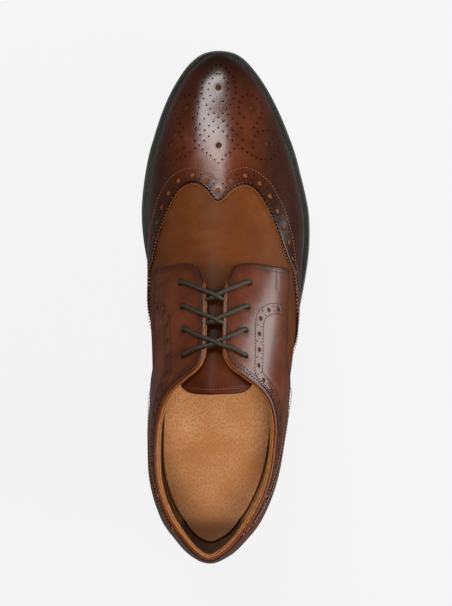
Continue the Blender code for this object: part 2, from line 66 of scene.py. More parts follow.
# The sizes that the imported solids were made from
COUNTER_BACK = -0.4
TOE_TIP = 305.0
MID_LENGTH = (COUNTER_BACK + TOE_TIP) / 2
MID_WIDTH = -0.2
OUTSOLE_THICKNESS = 5.0
WELT_THICKNESS = 3.2
WELT_WIDTH = 11.0
TOP_LIFT_THICKNESS = 6.0
HEEL_LIFT_THICKNESS = 5.4
HEEL_SEAT_HEIGHT = 23.5
HEEL_BREAST = 79.0
FLAT_FROM = 174.0
FLAT_TO = 228.0
TOE_SPRING = 11.0
GAP = 0.3
WALL = 2.0
OVERLAY = 1.5
THROAT_X = -6.1

# The x of the bare strip of vamp between the tabs
VAMP_MIDDLE = -5.6

# Radii of the punched holes
PIN_HOLE = 0.48
FINE_HOLE = 0.55
COUNTER_HOLE = 1.3
QUARTER_HOLE = 1.35
WING_HOLE = 1.5
MEDALLION_HOLE = 1.8
# How far the pin holes of a pair lie from their strip's middle
PAIR_OFFSET = 1.45

# A punched hole: its angle, how far round it lies, its radius
Hole = tuple[float, float, float]

# The sole's outline: place, inner edge, outer edge
SOLE_EDGE = np.array([
    (2, -9.0, -9.0), (4, -15.6, -2.4), (8, -21.0, 3.2), (15, -28.0, 10.2), (30, -37.6, 20.8),
    (50, -42.6, 28.4), (75, -42.8, 32.0), (92, -41.5, 34.0), (110, -39.5, 37.0),
    (130, -39.5, 41.4), (150, -42.6, 46.2), (165, -46.4, 49.3), (181, -50.0, 51.6),
    (195, -52.0, 52.2), (207, -52.6, 51.6), (218, -52.0, 49.6), (230, -50.5, 46.7),
    (243, -48.0, 43.3), (255, -44.4, 38.9), (267, -40.3, 33.8), (279, -35.0, 27.6),
    (288, -29.7, 21.8), (295, -24.6, 16.2), (300.8, -18.4, 10.1), (303.8, -12.7, 4.2),
    (305, -4.3, -4.3),
])

# The last: place, inner foot, outer foot, crest x, crest z, inner lean, outer lean, rise, reach
LAST_SECTIONS = np.array([
    (6.4, -9.0, -9.0, -9.0, 112, 8, 8, 0.40, 0.55),
    (8.5, -15.8, -2.4, -8.9, 112, 9, 9, 0.40, 0.58),
    (12, -20.6, 3.0, -8.8, 112, 10, 10, 0.40, 0.60),
    (20, -26.6, 9.8, -8.5, 112, 14, 14, 0.40, 0.64),
    (30, -32.6, 16.4, -8.2, 112, 19, 19, 0.40, 0.66),
    (50, -38.8, 24.4, -8.0, 112, 21, 22, 0.40, 0.68),
    (75, -39.6, 28.8, -8.0, 111, 23, 25, 0.40, 0.66),
    (100, -38.2, 32.2, -7.6, 107, 28, 29, 0.42, 0.56),
    (125, -37.8, 35.4, -6.6, 97.5, 34, 32, 0.46, 0.46),
    (150, -39.4, 39.4, -6.2, 87.5, 34, 25, 0.50, 0.44),
    (175, -43.2, 43.8, -5.8, 76.0, 22, 15, 0.50, 0.46),
    (200, -45.8, 45.8, -5.0, 64.5, 10, 9, 0.50, 0.48),
    (215, -45.8, 43.6, -4.6, 58.0, 8, 8, 0.54, 0.50),
    (235, -43.2, 38.8, -4.4, 51.0, 7, 7, 0.60, 0.54),
    (255, -37.7, 32.4, -4.3, 46.0, 6, 6, 0.66, 0.58),
    (272, -31.4, 24.8, -4.3, 43.2, 5, 5, 0.70, 0.60),
    (285, -24.8, 16.9, -4.3, 40.8, 4, 4, 0.70, 0.60),
    (294, -17.0, 8.5, -4.3, 36.8, 3, 3, 0.66, 0.58),
    (299.0, -4.3, -4.3, -4.3, 28.5, 2, 2, 0.60, 0.55),
])

# The top edge of the upper: place, inner x, inner z, outer x, outer z
BRIM = np.array([
    (6.4, -9.0, 88.0, -9.0, 88.0), (8.5, -15.6, 87.7, -2.6, 87.7), (15, -21.0, 86.5, 3.6, 86.5),
    (25, -25.8, 84.8, 8.8, 84.8), (40, -33.0, 81.8, 16.3, 81.5), (56, -38.4, 79.6, 21.8, 79.0),
    (70, -40.6, 79.0, 24.4, 78.0), (84, -40.2, 80.2, 25.4, 79.0), (95, -37.0, 83.4, 22.8, 82.4),
    (104, -29.5, 88.6, 17.6, 88.0), (111, -21.0, 94.2, 9.8, 94.0), (117, -15.2, 98.2, 3.0, 98.2),
    (124, -11.8, 96.8, -0.8, 96.8), (135, -11.2, 92.4, -1.2, 92.4),
    (150, -11.4, 86.6, -0.8, 86.6), (163, -12.4, 81.0, 0.4, 81.0), (169, -12.0, 78.2, 0.2, 78.2),
    (172, -9.6, 77.3, -2.2, 77.3), (174, -5.9, 76.5, -5.9, 76.5),
])
THROAT = 174.0

# The rear profile of the heel: height over its foot, how far it stands forward there
HEEL_PROFILE = np.array(
    [(0, 0.0), (8, -1.9), (17, -3.0), (28, -1.6), (40, 1.8), (52, 5.6), (80, 12.0)]
)
HEEL_PROFILE_FADES_AT = 62.0

# The wing cap's rear edge: -1 is the inner foot over the welt, 0 the crest, 1 the outer foot
WING_EDGE = np.array([
    (-1.0, 117.0), (-0.92, 128.0), (-0.82, 143.0), (-0.72, 160.0), (-0.65, 178.0), (-0.55, 196.0),
    (-0.45, 208.4), (-0.35, 217.0), (-0.21, 219.9), (-0.10, 215.4), (0.0, 208.5), (0.10, 215.4),
    (0.20, 218.8), (0.30, 216.0), (0.40, 205.0), (0.50, 187.3), (0.60, 172.0), (0.67, 156.0),
    (0.76, 137.0), (0.88, 123.0), (1.0, 113.0),
])

# Seams alike on both sides, by height up the section from 0 at the welt to 1 at the top edge
COUNTER_EDGE = np.array(
    [(0.0, 96), (0.2, 92), (0.4, 84), (0.55, 74), (0.7, 60), (0.85, 41), (1.0, 21)]
)
TAB_FRONT = np.array([
    (0.3, 169), (0.5, 170.6), (0.63, 171.5), (0.75, 172.5), (0.87, 171.6), (0.95, 168.6),
    (1.0, 160),
])
# The height of the quarters' lower seam by place
QUARTER_LOW = np.array(
    [(30, 0.52), (75, 0.50), (90, 0.48), (113, 0.46), (127, 0.45), (153, 0.46), (173, 0.45)]
)
# The eyelets: place, and how far they lie from the throat's middle
EYELETS = np.array([(161.5, 18.2), (148.3, 17.0), (135.8, 16.0), (122.2, 15.8)])


class Side(Enum):
    """The two sides of the shoe."""

    MEDIAL = -1
    LATERAL = 1


def smooth(t: np.ndarray) -> np.ndarray:
    """0 to 1 with level ends."""
    t = np.clip(t, 0.0, 1.0)
    return t * t * (3 - 2 * t)


def curve(table: np.ndarray, at: np.ndarray, column: int = 1) -> np.ndarray:
    """A smooth curve through a table's rows.

    Args:
        table: Rows with rising first values.
        at: Where to read, in the first column's terms.
        column: The column to read.

    Returns:
        The readings, level past both ends.
    """
    knots, values = table[:, 0], table[:, column]
    at = np.clip(np.asarray(at, float), knots[0], knots[-1])
    i = np.clip(np.searchsorted(knots, at, side="right") - 1, 0, len(knots) - 2)
    slopes = np.empty(len(knots))
    slopes[1:-1] = (values[2:] - values[:-2]) / (knots[2:] - knots[:-2])
    slopes[0] = (values[1] - values[0]) / (knots[1] - knots[0])
    slopes[-1] = (values[-1] - values[-2]) / (knots[-1] - knots[-2])
    step = knots[i + 1] - knots[i]
    t = (at - knots[i]) / step
    rise = values[i + 1] - values[i]
    a = slopes[i] * step - rise
    b = -slopes[i + 1] * step + rise
    return values[i] + rise * t + t * (1 - t) * (a * (1 - t) + b * t)


def ground_clearance(place: np.ndarray) -> np.ndarray:
    """Height of the outsole's underside: heel seat, shank, flat tread and toe spring."""
    place = np.asarray(place, float)
    spring = TOE_SPRING * (np.clip((place - FLAT_TO) / (TOE_TIP - FLAT_TO), 0, None)) ** 1.8
    seat = HEEL_SEAT_HEIGHT + (HEEL_BREAST - place) * 0.02
    t = np.clip((FLAT_FROM - place) / (FLAT_FROM - HEEL_BREAST), 0, 1)
    shank = HEEL_SEAT_HEIGHT * (0.2 * t**2 + 0.8 * smooth(t))
    return np.where(place >= FLAT_TO, spring, np.where(place <= HEEL_BREAST, seat, shank))


def welt_top(place: np.ndarray) -> np.ndarray:
    """Height of the face that the upper and the insole stand on."""
    return ground_clearance(place) + OUTSOLE_THICKNESS + WELT_THICKNESS + GAP


def world(points: np.ndarray) -> np.ndarray:
    """Points in the shoe's own sizes, in metres round the shoe's middle."""
    return (np.asarray(points, float) - (MID_WIDTH, MID_LENGTH, 0.0)) * MM


@dataclass
class Span:
    """A stretch of the shoe whose two ends come out round: an angle of 0 is its rear end."""

    rows: np.ndarray

    def __post_init__(self) -> None:
        """Notes the ends and the rows' angles."""
        self.rear = self.rows[0, 0]
        self.front = self.rows[-1, 0]
        self.by_angle = self.rows.copy()
        self.by_angle[:, 0] = self.angle(self.rows[:, 0])

    def angle(self, place: np.ndarray) -> np.ndarray:
        """The angle of a place."""
        share = np.clip((place - self.rear) / (self.front - self.rear), 0, 1)
        return np.arccos(1 - 2 * share)

    def place(self, angle: np.ndarray) -> np.ndarray:
        """The place of an angle."""
        return self.rear + (self.front - self.rear) * (1 - np.cos(angle)) / 2

    def read(self, column: int, angle: np.ndarray) -> np.ndarray:
        """A column at an angle."""
        return curve(self.by_angle, angle, column)

    def outline(self, inset: float, steps: int) -> np.ndarray:
        """The outline moved in, as points of x and place.

        Args:
            inset: How far in the outline moves.
            steps: Steps along each side.

        Returns:
            The closed ring, from the heel along the inner side and back.
        """
        angles = np.linspace(0, math.pi, steps + 1)
        inner = np.stack([self.read(1, angles), self.place(angles)], 1)
        outer = np.stack([self.read(2, angles), self.place(angles)], 1)
        ring = np.concatenate([inner, outer[-2:0:-1]])
        tangent = np.roll(ring, -1, 0) - np.roll(ring, 1, 0)
        normal = np.stack([tangent[:, 1], -tangent[:, 0]], 1)
        normal /= np.linalg.norm(normal, axis=1, keepdims=True)
        return ring + normal * inset


class Last:
    """The form that the leather is drawn over, read at many spots at once."""

    def __init__(self) -> None:
        """Works out how far up each section the top edge lies."""
        self.span = Span(LAST_SECTIONS)
        self.brim_angles = np.linspace(0, self.span.angle(THROAT), 500)
        self.brim_shares = {side: self._brim(side) for side in (-1, 1)}

    def section(self, angle: np.ndarray, side: np.ndarray, t: np.ndarray) -> np.ndarray:
        """Points of the bare last.

        Args:
            angle: From 0 at the heel to pi at the toe.
            side: -1 inside, 1 outside.
            t: 0 at the welt, 1 at the crest.

        Returns:
            The points, one row each.
        """
        place = self.span.place(angle)
        inside = side < 0
        foot_x = np.where(inside, self.span.read(1, angle), self.span.read(2, angle))
        foot_z = welt_top(place) + GAP
        crest_x, crest_z = self.span.read(3, angle), self.span.read(4, angle)
        lean = np.radians(np.where(inside, self.span.read(5, angle), self.span.read(6, angle)))
        rise = self.span.read(7, angle) * (crest_z - foot_z)
        width = np.abs(foot_x - crest_x)
        lean_out = np.sin(lean) * np.minimum(1.0, width / 20.0)
        wall_x = foot_x + side * rise * lean_out
        wall_z = foot_z + rise * np.cos(lean)
        roof_x = crest_x + side * self.span.read(8, angle) * width
        shares = ((1 - t) ** 3, 3 * t * (1 - t) ** 2, 3 * t * t * (1 - t), t**3)
        x = sum(s * p for s, p in zip(shares, (foot_x, wall_x, roof_x, crest_x)))
        z = sum(s * p for s, p in zip(shares, (foot_z, wall_z, crest_z, crest_z)))
        fade = 1 - smooth((place - self.span.rear) / (HEEL_PROFILE_FADES_AT - self.span.rear))
        return np.stack([x, place + curve(HEEL_PROFILE, z - foot_z) * fade, z], -1)

    def _brim(self, side: int) -> np.ndarray:
        """The share of the section below the top edge, at each of the brim's angles."""
        place = self.span.place(self.brim_angles)
        column = 1 if side < 0 else 3
        target = np.stack([curve(BRIM, place, column), curve(BRIM, place, column + 1)], -1)
        t = np.linspace(0.3, 1.0, 700)
        points = self.section(self.brim_angles[:, None], side, t[None, :])
        apart = (points[..., 0] - target[:, :1]) ** 2 + (points[..., 2] - target[:, 1:]) ** 2
        return t[np.argmin(apart, 1)]

    def top_share(self, angle: np.ndarray, side: np.ndarray) -> np.ndarray:
        """The share of the section below the top edge: all of it in front of the throat."""
        inner = np.interp(angle, self.brim_angles, self.brim_shares[-1])
        outer = np.interp(angle, self.brim_angles, self.brim_shares[1])
        return np.where(angle >= self.brim_angles[-1], 1.0, np.where(side < 0, inner, outer))

    def bare(self, angle: np.ndarray, around: np.ndarray, side: np.ndarray) -> np.ndarray:
        """The upper's outer face at a distance around, 0 at the top edge and 1 at the welt."""
        return self.section(angle, side, (1 - around) * self.top_share(angle, side))

    def _normal(self, angle: np.ndarray, around: np.ndarray, side: np.ndarray) -> np.ndarray:
        """The outward direction on one side."""
        step = 0.02
        angle = np.clip(angle, step * 1.5, math.pi - step * 1.5)
        around = np.clip(around, step, 1 - step)
        ahead = self.bare(angle + step, around, side) - self.bare(angle - step, around, side)
        up = self.bare(angle, around - step, side) - self.bare(angle, around + step, side)
        normal = np.cross(ahead, up) * side[..., None]
        return normal / np.linalg.norm(normal, axis=-1, keepdims=True)

    def normal(self, angle: np.ndarray, around: np.ndarray, side: np.ndarray) -> np.ndarray:
        """The outward direction, shared where the two sides meet and level over the welt."""
        main = self._normal(angle, around, side)
        other = self._normal(angle, around, -side)
        blend = 0.06
        crest = np.where(angle >= self.brim_angles[-1] - 0.005, around, 1.0)
        near = np.minimum(np.minimum(angle, math.pi - angle), crest) / blend
        share = 0.5 + 0.5 * smooth(near)[..., None]
        mixed = main * share + other * (1 - share)
        mixed[..., 2] *= 1 - smooth((around - 0.93) / 0.07)
        return mixed / np.linalg.norm(mixed, axis=-1, keepdims=True)

    def skin(self, spots: np.ndarray, offset: np.ndarray) -> np.ndarray:
        """The face moved out.

        Args:
            spots: Rows of angle and around, around being negative on the inner side.
            offset: How far out, for each spot or for all.

        Returns:
            The points.
        """
        spots = np.asarray(spots, float)
        angle, around = spots[..., 0], np.abs(spots[..., 1])
        side = np.where(np.signbit(spots[..., 1]), -1.0, 1.0)
        offset = np.broadcast_to(offset, angle.shape)[..., None]
        return self.bare(angle, around, side) + self.normal(angle, around, side) * offset

    def frame(self, spots: np.ndarray) -> tuple[np.ndarray, np.ndarray, np.ndarray]:
        """The face's own directions at spots.

        Args:
            spots: Rows of angle and around.

        Returns:
            The change of the point with angle, its change with around, and the normal.
        """
        spots = np.asarray(spots, float)
        sign = np.where(np.signbit(spots[..., 1]), -1.0, 1.0)
        angle, around = spots[..., 0], np.abs(spots[..., 1])
        step = 0.004
        angle = np.clip(angle, step, math.pi - step)
        around = np.clip(around, step, 1 - step)
        by_angle = self.bare(angle + step, around, sign) - self.bare(angle - step, around, sign)
        by_around = self.bare(angle, around + step, sign) - self.bare(angle, around - step, sign)
        by_around *= sign[..., None]
        return by_angle / (2 * step), by_around / (2 * step), self.normal(angle, around, sign)

    def move(self, spots: np.ndarray, shift: np.ndarray) -> np.ndarray:
        """Spots moved by small vectors along the face.

        Args:
            spots: Rows of angle and around.
            shift: A vector in millimetres for each spot.

        Returns:
            The moved spots.
        """
        by_angle, by_around, _ = self.frame(spots)
        a = (by_angle**2).sum(-1)
        b = (by_angle * by_around).sum(-1)
        c = (by_around**2).sum(-1)
        p = (by_angle * shift).sum(-1)
        q = (by_around * shift).sum(-1)
        size = np.maximum(a * c - b * b, 1e-9)
        return spots + np.stack([(c * p - b * q) / size, (a * q - b * p) / size], -1)

    def resample(self, spots: np.ndarray, step: float) -> np.ndarray:
        """A line of spots with even steps along the face, its ends kept."""
        points = self.skin(spots, 0.0)
        run = np.concatenate([[0], np.cumsum(np.linalg.norm(np.diff(points, axis=0), axis=1))])
        count = max(int(round(run[-1] / step)), 1)
        at = np.linspace(0, run[-1], count + 1)
        return np.stack([np.interp(at, run, spots[:, k]) for k in (0, 1)], 1)

    def sideways(self, spots: np.ndarray) -> np.ndarray:
        """Unit vectors along the face, square to a line of spots and to its left."""
        points = self.skin(spots, 0.0)
        ahead = np.gradient(points, axis=0)
        across = np.cross(self.frame(spots)[2], ahead)
        return across / np.maximum(np.linalg.norm(across, axis=1, keepdims=True), 1e-9)

    def beside(self, spots: np.ndarray, distance: float) -> np.ndarray:
        """A line that runs beside a line of spots, with the loops at its corners taken out."""
        moved = self.move(spots, self.sideways(spots) * distance)
        apart = nearest(self.skin(moved, 0.0), self.skin(spots, 0.0))
        inside = (np.abs(moved[:, 1]) < 1.0) & (moved[:, 0] > 0) & (moved[:, 0] < math.pi)
        return moved[(apart > abs(distance) * 0.94) & inside]

    def at_place(self, place: np.ndarray, around: np.ndarray) -> np.ndarray:
        """Spots from places along the shoe and distances around."""
        return np.stack(np.broadcast_arrays(self.span.angle(np.asarray(place, float)), around), -1)

    def under(self, place: np.ndarray, x: np.ndarray, offset: np.ndarray | float) -> np.ndarray:
        """Points at x on the whole section, throat or no throat, moved out by offset."""
        place, x = np.broadcast_arrays(np.asarray(place, float), np.asarray(x, float))
        angle = self.span.angle(place)
        side = np.where(x < self.span.read(3, angle), -1.0, 1.0)
        t = np.linspace(0.3, 1.0, 160)
        row = self.section(angle[..., None], side[..., None], t)
        share = t[np.argmin(np.abs(row[..., 0] - x[..., None]), -1)]
        for _ in range(3):
            near = self.section(angle, side, share)
            slope = self.section(angle, side, share - 0.004)[..., 0] - near[..., 0]
            slope = np.where(np.abs(slope) < 1e-6, 1e-6, slope)
            share = np.clip(share - (x - near[..., 0]) / slope * 0.004, 0.3, 1.0)
        point = self.section(angle, side, share)
        point[..., 0] = np.where(share >= 0.999, x, point[..., 0])
        if not np.any(offset):
            return point
        step = 1.6
        across = self.under(place, x + step, 0.0) - self.under(place, x - step, 0.0)
        ahead = self.under(place + step, x, 0.0) - self.under(place - step, x, 0.0)
        normal = np.cross(across, ahead)
        normal /= np.linalg.norm(normal, axis=-1, keepdims=True)
        return point + normal * np.broadcast_to(offset, angle.shape)[..., None]


def nearest(points: np.ndarray, others: np.ndarray) -> np.ndarray:
    """How far each point lies from the closest of the others."""
    tree = KDTree(len(others))
    for k, other in enumerate(others):
        tree.insert(other, k)
    tree.balance()
    return np.array([tree.find(point)[2] for point in points])


def left_hand(ring: np.ndarray) -> np.ndarray:
    """A flat ring turned, where needed, to run against the clock."""
    following = np.roll(ring, -1, 0)
    area = (ring[:, 0] * following[:, 1] - ring[:, 1] * following[:, 0]).sum()
    return ring if area > 0 else ring[::-1]


def deselect() -> None:
    """Leaves nothing selected."""
    bpy.ops.object.select_all(action="DESELECT")


def make_piece(
    name: str,
    points: np.ndarray,
    faces: Iterable[Iterable[int]],
    material: bpy.types.Material,
    burnish: np.ndarray | None = None,
    sharp: float = 50.0,
) -> bpy.types.Object:
    """A closed piece from points in the shoe's own sizes.

    Args:
        name: The piece's name.
        points: Its corners in millimetres.
        faces: Rows of corner numbers.
        material: Its finish.
        burnish: How far each corner is darkened, from 0 to 1, by rubbing and by painted shade.
        sharp: The bend in degrees past which an edge shows as sharp.

    Returns:
        The new object, at the origin.
    """
    mesh = bpy.data.meshes.new(name)
    build = bmesh.new()
    # Each corner's darkening: rubbing, and painted shade
    layer = build.verts.layers.float.new("burnish")
    shade = np.zeros(len(points)) if burnish is None else burnish
    corners = [build.verts.new(point) for point in world(points)]
    for corner, value in zip(corners, shade):
        corner[layer] = float(value)
    for face in faces:
        ring = [corners[k] for k in face]
        if len(set(ring)) == len(ring) and not build.faces.get(ring):
            build.faces.new(ring)
    bmesh.ops.remove_doubles(build, verts=build.verts, dist=0.00001)
    bmesh.ops.recalc_face_normals(build, faces=build.faces)
    build.to_mesh(mesh)
    build.free()
    mesh.materials.append(material)
    piece = bpy.data.objects.new(name, mesh)
    bpy.context.collection.objects.link(piece)
    deselect()
    piece.select_set(True)
    bpy.context.view_layer.objects.active = piece
    bpy.ops.object.shade_smooth_by_angle(angle=math.radians(sharp))
    return piece


def tube_mesh(
    centre: np.ndarray, across: np.ndarray, up: np.ndarray, profile: np.ndarray, closed: bool
) -> tuple[np.ndarray, list[list[int]]]:
    """A profile swept along a line.

    Args:
        centre: The line's points.
        across: The profile's first direction at each point.
        up: Its second direction.
        profile: Rows of two measures, as a closed ring, one set for all points or one for each.
        closed: Whether the line ends where it starts.

    Returns:
        Points and faces.
    """
    count = len(centre)
    profile = np.broadcast_to(profile, (count, *profile.shape[-2:]))
    rings = (
        centre[:, None]
        + across[:, None] * profile[..., :1]
        + up[:, None] * profile[..., 1:]
    )
    size = profile.shape[1]
    faces = []
    for i in range(count if closed else count - 1):
        for j in range(size):
            a, b = i * size + j, i * size + (j + 1) % size
            shift = ((i + 1) % count - i) * size
            faces.append([a, b, b + shift, a + shift])
    if not closed:
        faces.append(list(range(size))[::-1])
        faces.append([(count - 1) * size + k for k in range(size)])
    return rings.reshape(-1, 3), faces


def sheet_mesh(face: np.ndarray, back: np.ndarray) -> tuple[np.ndarray, list[list[int]]]:
    """A closed sheet between two grids of points of the same size."""
    rows, columns = face.shape[0] - 1, face.shape[1] - 1
    wide, size = columns + 1, face.shape[0] * face.shape[1]
    faces = []
    for r in range(rows):
        for c in range(columns):
            ring = [r * wide + c, r * wide + c + 1, (r + 1) * wide + c + 1, (r + 1) * wide + c]
            faces += [ring, [k + size for k in reversed(ring)]]
    border = list(range(wide)) + [r * wide + columns for r in range(1, rows + 1)]
    border += [rows * wide + c for c in range(columns - 1, -1, -1)]
    border += [r * wide for r in range(rows - 1, 0, -1)]
    for a, b in zip(border, border[1:] + border[:1]):
        faces.append([a, b, b + size, a + size])
    return np.concatenate([face.reshape(-1, 3), back.reshape(-1, 3)]), faces


def ellipse(width: float, height: float, count: int, shift: tuple[float, float]) -> np.ndarray:
    """A ring of points of an ellipse round a shifted middle."""
    turn = np.linspace(0, 2 * math.pi, count, endpoint=False)
    ring = np.stack([np.cos(turn) * width / 2, np.sin(turn) * height / 2], 1)
    return ring + np.array(shift)


@dataclass
class Row:
    """A line of spots on the last, on one side or across both."""

    spots: np.ndarray
    pitch: float = 1.9
    lift: float = OVERLAY


@dataclass
class Border:
    """A stretch of a panel's outline; a free one shows and is rounded."""

    spots: np.ndarray
    free: bool = True


@dataclass
class Panel:
    """A leather part cut from the last: closed, punched, with a rounded edge and sewn rows."""

    last: Last
    name: str
    base: float
    top: float
    spacing: float = 1.7
    edge_height: float = 0.55
    relief: Callable[[np.ndarray], np.ndarray] | None = None
    # Painted shade for the panel's spots, if it has any
    painted_shade: Callable[[np.ndarray], np.ndarray] | None = None
    holes: list[Hole] = field(default_factory=list)
    rows: list[Row] = field(default_factory=list)
    points: list[np.ndarray] = field(default_factory=list)
    shades: list[np.ndarray] = field(default_factory=list)
    faces: list[list[int]] = field(default_factory=list)

    # Millimetres for an angle and for a way round the section, about as on the shoe
    SCALE = np.array([95.0, 75.0])
    # Where rows of corners follow an edge, and up to where they are dense
    EDGE_STEPS = (0.18, 0.45, 1.0)
    DENSE_WITHIN = 0.5
    # From this radius a hole shows its bottom
    LARGE_HOLE = 0.9
    # How far the rounding of an edge reaches, and the darkening along it: rubbing, and painted
    # shade at the edge's step
    EDGE_ROUNDING = 0.55
    EDGE_RUB_AND_SHADE = 2.2
    # How deep the leather is drawn in at a hole and at a stitch
    HOLE_DIP = 0.05
    STITCH_DIP = 0.10
    # Nearer than this round the section, a ring counts as being on the other side
    MIDDLE_LINE = 0.004

    def circle(self, spot: np.ndarray, radius: float) -> np.ndarray:
        """A round hole's edge as spots, round on the face itself."""
        by_angle, _, normal = self.last.frame(spot[None])
        first = by_angle[0] / np.linalg.norm(by_angle[0])
        second = np.cross(normal[0], first)
        count = 12 if radius > self.LARGE_HOLE else 7
        turn = np.linspace(0, 2 * math.pi, count, endpoint=False)[:, None]
        shift = (first * np.cos(turn) + second * np.sin(turn)) * radius
        return self.last.move(np.repeat(spot[None], count, 0), shift)

    def add_side(self, side: int, borders: list[Border]) -> None:
        """Cuts the panel's half on one side.

        Args:
            side: -1 inside, 1 outside.
            borders: The outline's stretches in order, their distances around all positive.
        """
        sign = np.array([1.0, side])
        loop = np.concatenate([border.spots[:-1] for border in borders])
        flat = left_hand(loop * self.SCALE)
        rings = [list(range(len(flat)))]
        pool = [flat]
        count = len(flat)
        own, rims = [], []
        for angle, around, radius in self.holes:
            ring = self.circle(np.array([angle, around]), radius) * sign
            if ring[:, 1].max() < self.MIDDLE_LINE:
                continue
            own.append((angle, around, radius))
            rims.append(self.circle(np.array([angle, around]), radius + 0.35) * sign)
            pool.append(left_hand(ring * self.SCALE))
            rings.append(list(range(count, count + len(ring))))
            count += len(ring)
        free = [border.spots for border in borders if border.free]
        edge = np.concatenate(free) if free else np.zeros((0, 2))
        guides = [rim * self.SCALE for rim in rims]
        for spots in free:
            for distance in self.EDGE_STEPS:
                followed = spots[:: 1 if distance < self.DENSE_WITHIN else 2] * sign
                for turn in (1, -1):
                    moved = self.last.beside(followed, turn * distance)
                    guides.append(moved * sign * self.SCALE)
        low, high = flat.min(0), flat.max(0)
        step = self.spacing
        grid_a, grid_v = np.meshgrid(
            np.arange(low[0] + step / 2, high[0], step), np.arange(low[1] + step / 2, high[1], step)
        )
        grid_a[::2] += step / 2
        grid = np.stack([grid_a.ravel(), grid_v.ravel()], 1)
        fixed = np.concatenate(pool + guides)
        away = nearest(np.c_[grid, np.zeros(len(grid))], np.c_[fixed, np.zeros(len(fixed))])
        grid = grid[away > step * 0.45]
        all_points = np.concatenate(pool + guides + [grid])
        result = delaunay_2d_cdt([Vector(p) for p in all_points], [], rings, 1, 1e-5)
        flat_points = np.array([tuple(p) for p in result[0]])
        triangles = [f for f, origin in zip(result[2], result[5]) if list(origin) == [0]]
        used = sorted({k for f in triangles for k in f})
        number = {k: n for n, k in enumerate(used)}
        spots = flat_points[used] / self.SCALE
        spots[:, 0] = np.clip(spots[:, 0], 0, math.pi)
        spots[:, 1] = np.clip(spots[:, 1], 0, 1)
        signed = spots * sign
        signed[:, 1] = np.where(spots[:, 1] == 0, 0.0 * side, signed[:, 1])
        height, shade = self.surface(signed, edge * sign, own, side)
        face = self.last.skin(signed, height)
        back = self.last.skin(signed, self.base)
        start = sum(len(p) for p in self.points)
        self.points += [face, back]
        self.shades += [shade, shade]
        uses: dict[tuple[int, int], int] = {}
        size = len(used)
        for triangle in triangles:
            ring = [number[k] + start for k in triangle]
            self.faces.append(ring)
            self.faces.append([k + size for k in reversed(ring)])
            for a, b in zip(ring, ring[1:] + ring[:1]):
                uses[min(a, b), max(a, b)] = uses.get((min(a, b), max(a, b)), 0) + 1
        throat = self.last.brim_angles[-1] - 1e-4
        for (a, b), times in uses.items():
            pair = spots[[a - start, b - start]]
            ends = bool((pair[:, 0] < 1e-6).all() or (pair[:, 0] > math.pi - 1e-6).all())
            crest = bool((pair[:, 1] < 1e-6).all() and (pair[:, 0] > throat).all())
            if times == 1 and not ends and not crest:
                self.faces.append([a, b, b + size, a + size])

    def surface(
        self, spots: np.ndarray, edge: np.ndarray, holes: list[Hole], side: int
    ) -> tuple[np.ndarray, np.ndarray]:
        """Heights over the last, and the darkening: rounded at the edge and drawn in at stitches;
        rubbing and painted shade at the edge, painted shade at holes and stitches.

        Args:
            spots: The panel's corners.
            edge: The spots of its free edges.
            holes: The holes on this side.
            side: -1 inside, 1 outside.

        Returns:
            A height and a shade for each spot.
        """
        ground = self.last.skin(spots, 0.0)
        height = np.full(len(spots), self.top)
        shade = np.zeros(len(spots))
        if len(edge):
            apart = nearest(ground, self.last.skin(edge, 0.0))
            corner = np.clip(apart / self.EDGE_ROUNDING, 0, 1)
            thick = self.top - self.base
            height -= thick * (1 - self.edge_height) * (1 - np.sqrt(1 - (1 - corner) ** 2))
            # Darker along the free edge: rubbing, and painted shade
            shade = np.maximum(shade, 0.9 * np.exp(-apart / self.EDGE_RUB_AND_SHADE))
        if holes:
            middles = self.last.skin(np.array([h[:2] for h in holes]), 0.0)
            for middle, (_, _, radius) in zip(middles, holes):
                reach, strength = (0.45, 1.0) if radius > self.LARGE_HOLE else (0.28, 0.5)
                apart = np.linalg.norm(ground - middle, axis=1) - radius
                near = strength * np.exp(-np.clip(apart, 0, None) / reach)
                height -= self.HOLE_DIP * near
                # Painted shade round each hole
                shade = np.maximum(shade, 0.75 * near)
        for row in self.rows:
            own = row.spots[row.spots[:, 1] * side >= 0]
            if len(own) > 2:
                apart = nearest(ground, self.last.skin(own, 0.0))
                height -= self.STITCH_DIP * np.exp(-((apart / 0.5) ** 2))
                # Painted shade in the dent along each row of stitches
                shade = np.maximum(shade, 0.4 * np.exp(-apart / 0.8))
        if self.relief is not None:
            height += self.relief(spots)
        # The panel's painted shade, if it has one
        if self.painted_shade is not None:
            shade = np.maximum(shade, self.painted_shade(spots))
        return height, shade

    def build(self, material: bpy.types.Material) -> bpy.types.Object:
        """The finished panel."""
        points, shades = np.concatenate(self.points), np.concatenate(self.shades)
        piece = make_piece(self.name, points, self.faces, material, shades, 55.0)
        LOG.info("%s: %d faces", self.name, len(piece.data.polygons))
        return piece


def linear(colour: str) -> tuple[float, float, float, float]:
    """A linear colour from an sRGB hex value."""
    parts = [int(colour[k : k + 2], 16) / 255 for k in (1, 3, 5)]
    return (*[c / 12.92 if c <= 0.04045 else ((c + 0.055) / 1.055) ** 2.4 for c in parts], 1.0)


def node(
    tree: bpy.types.NodeTree, kind: str, settings: dict | None = None, **links: object
) -> bpy.types.Node:
    """Adds a shader node.

    Args:
        tree: The material's nodes.
        kind: The node's type name, without its first part.
        settings: Properties by name, and sockets' values by number.
        **links: Sockets to feed, by name with _ for a space, or i and a number.

    Returns:
        The new node.
    """
    made = tree.nodes.new("ShaderNode" + kind)
    for key, value in (settings or {}).items():
        if isinstance(key, int):
            made.inputs[key].default_value = value
        else:
            setattr(made, key, value)
    for key, source in links.items():
        number = key[1:]
        numbered = key[0] == "i" and number.isdigit()
        socket = made.inputs[int(number) if numbered else key.replace("_", " ")]
        tree.links.new(source, socket)
    return made


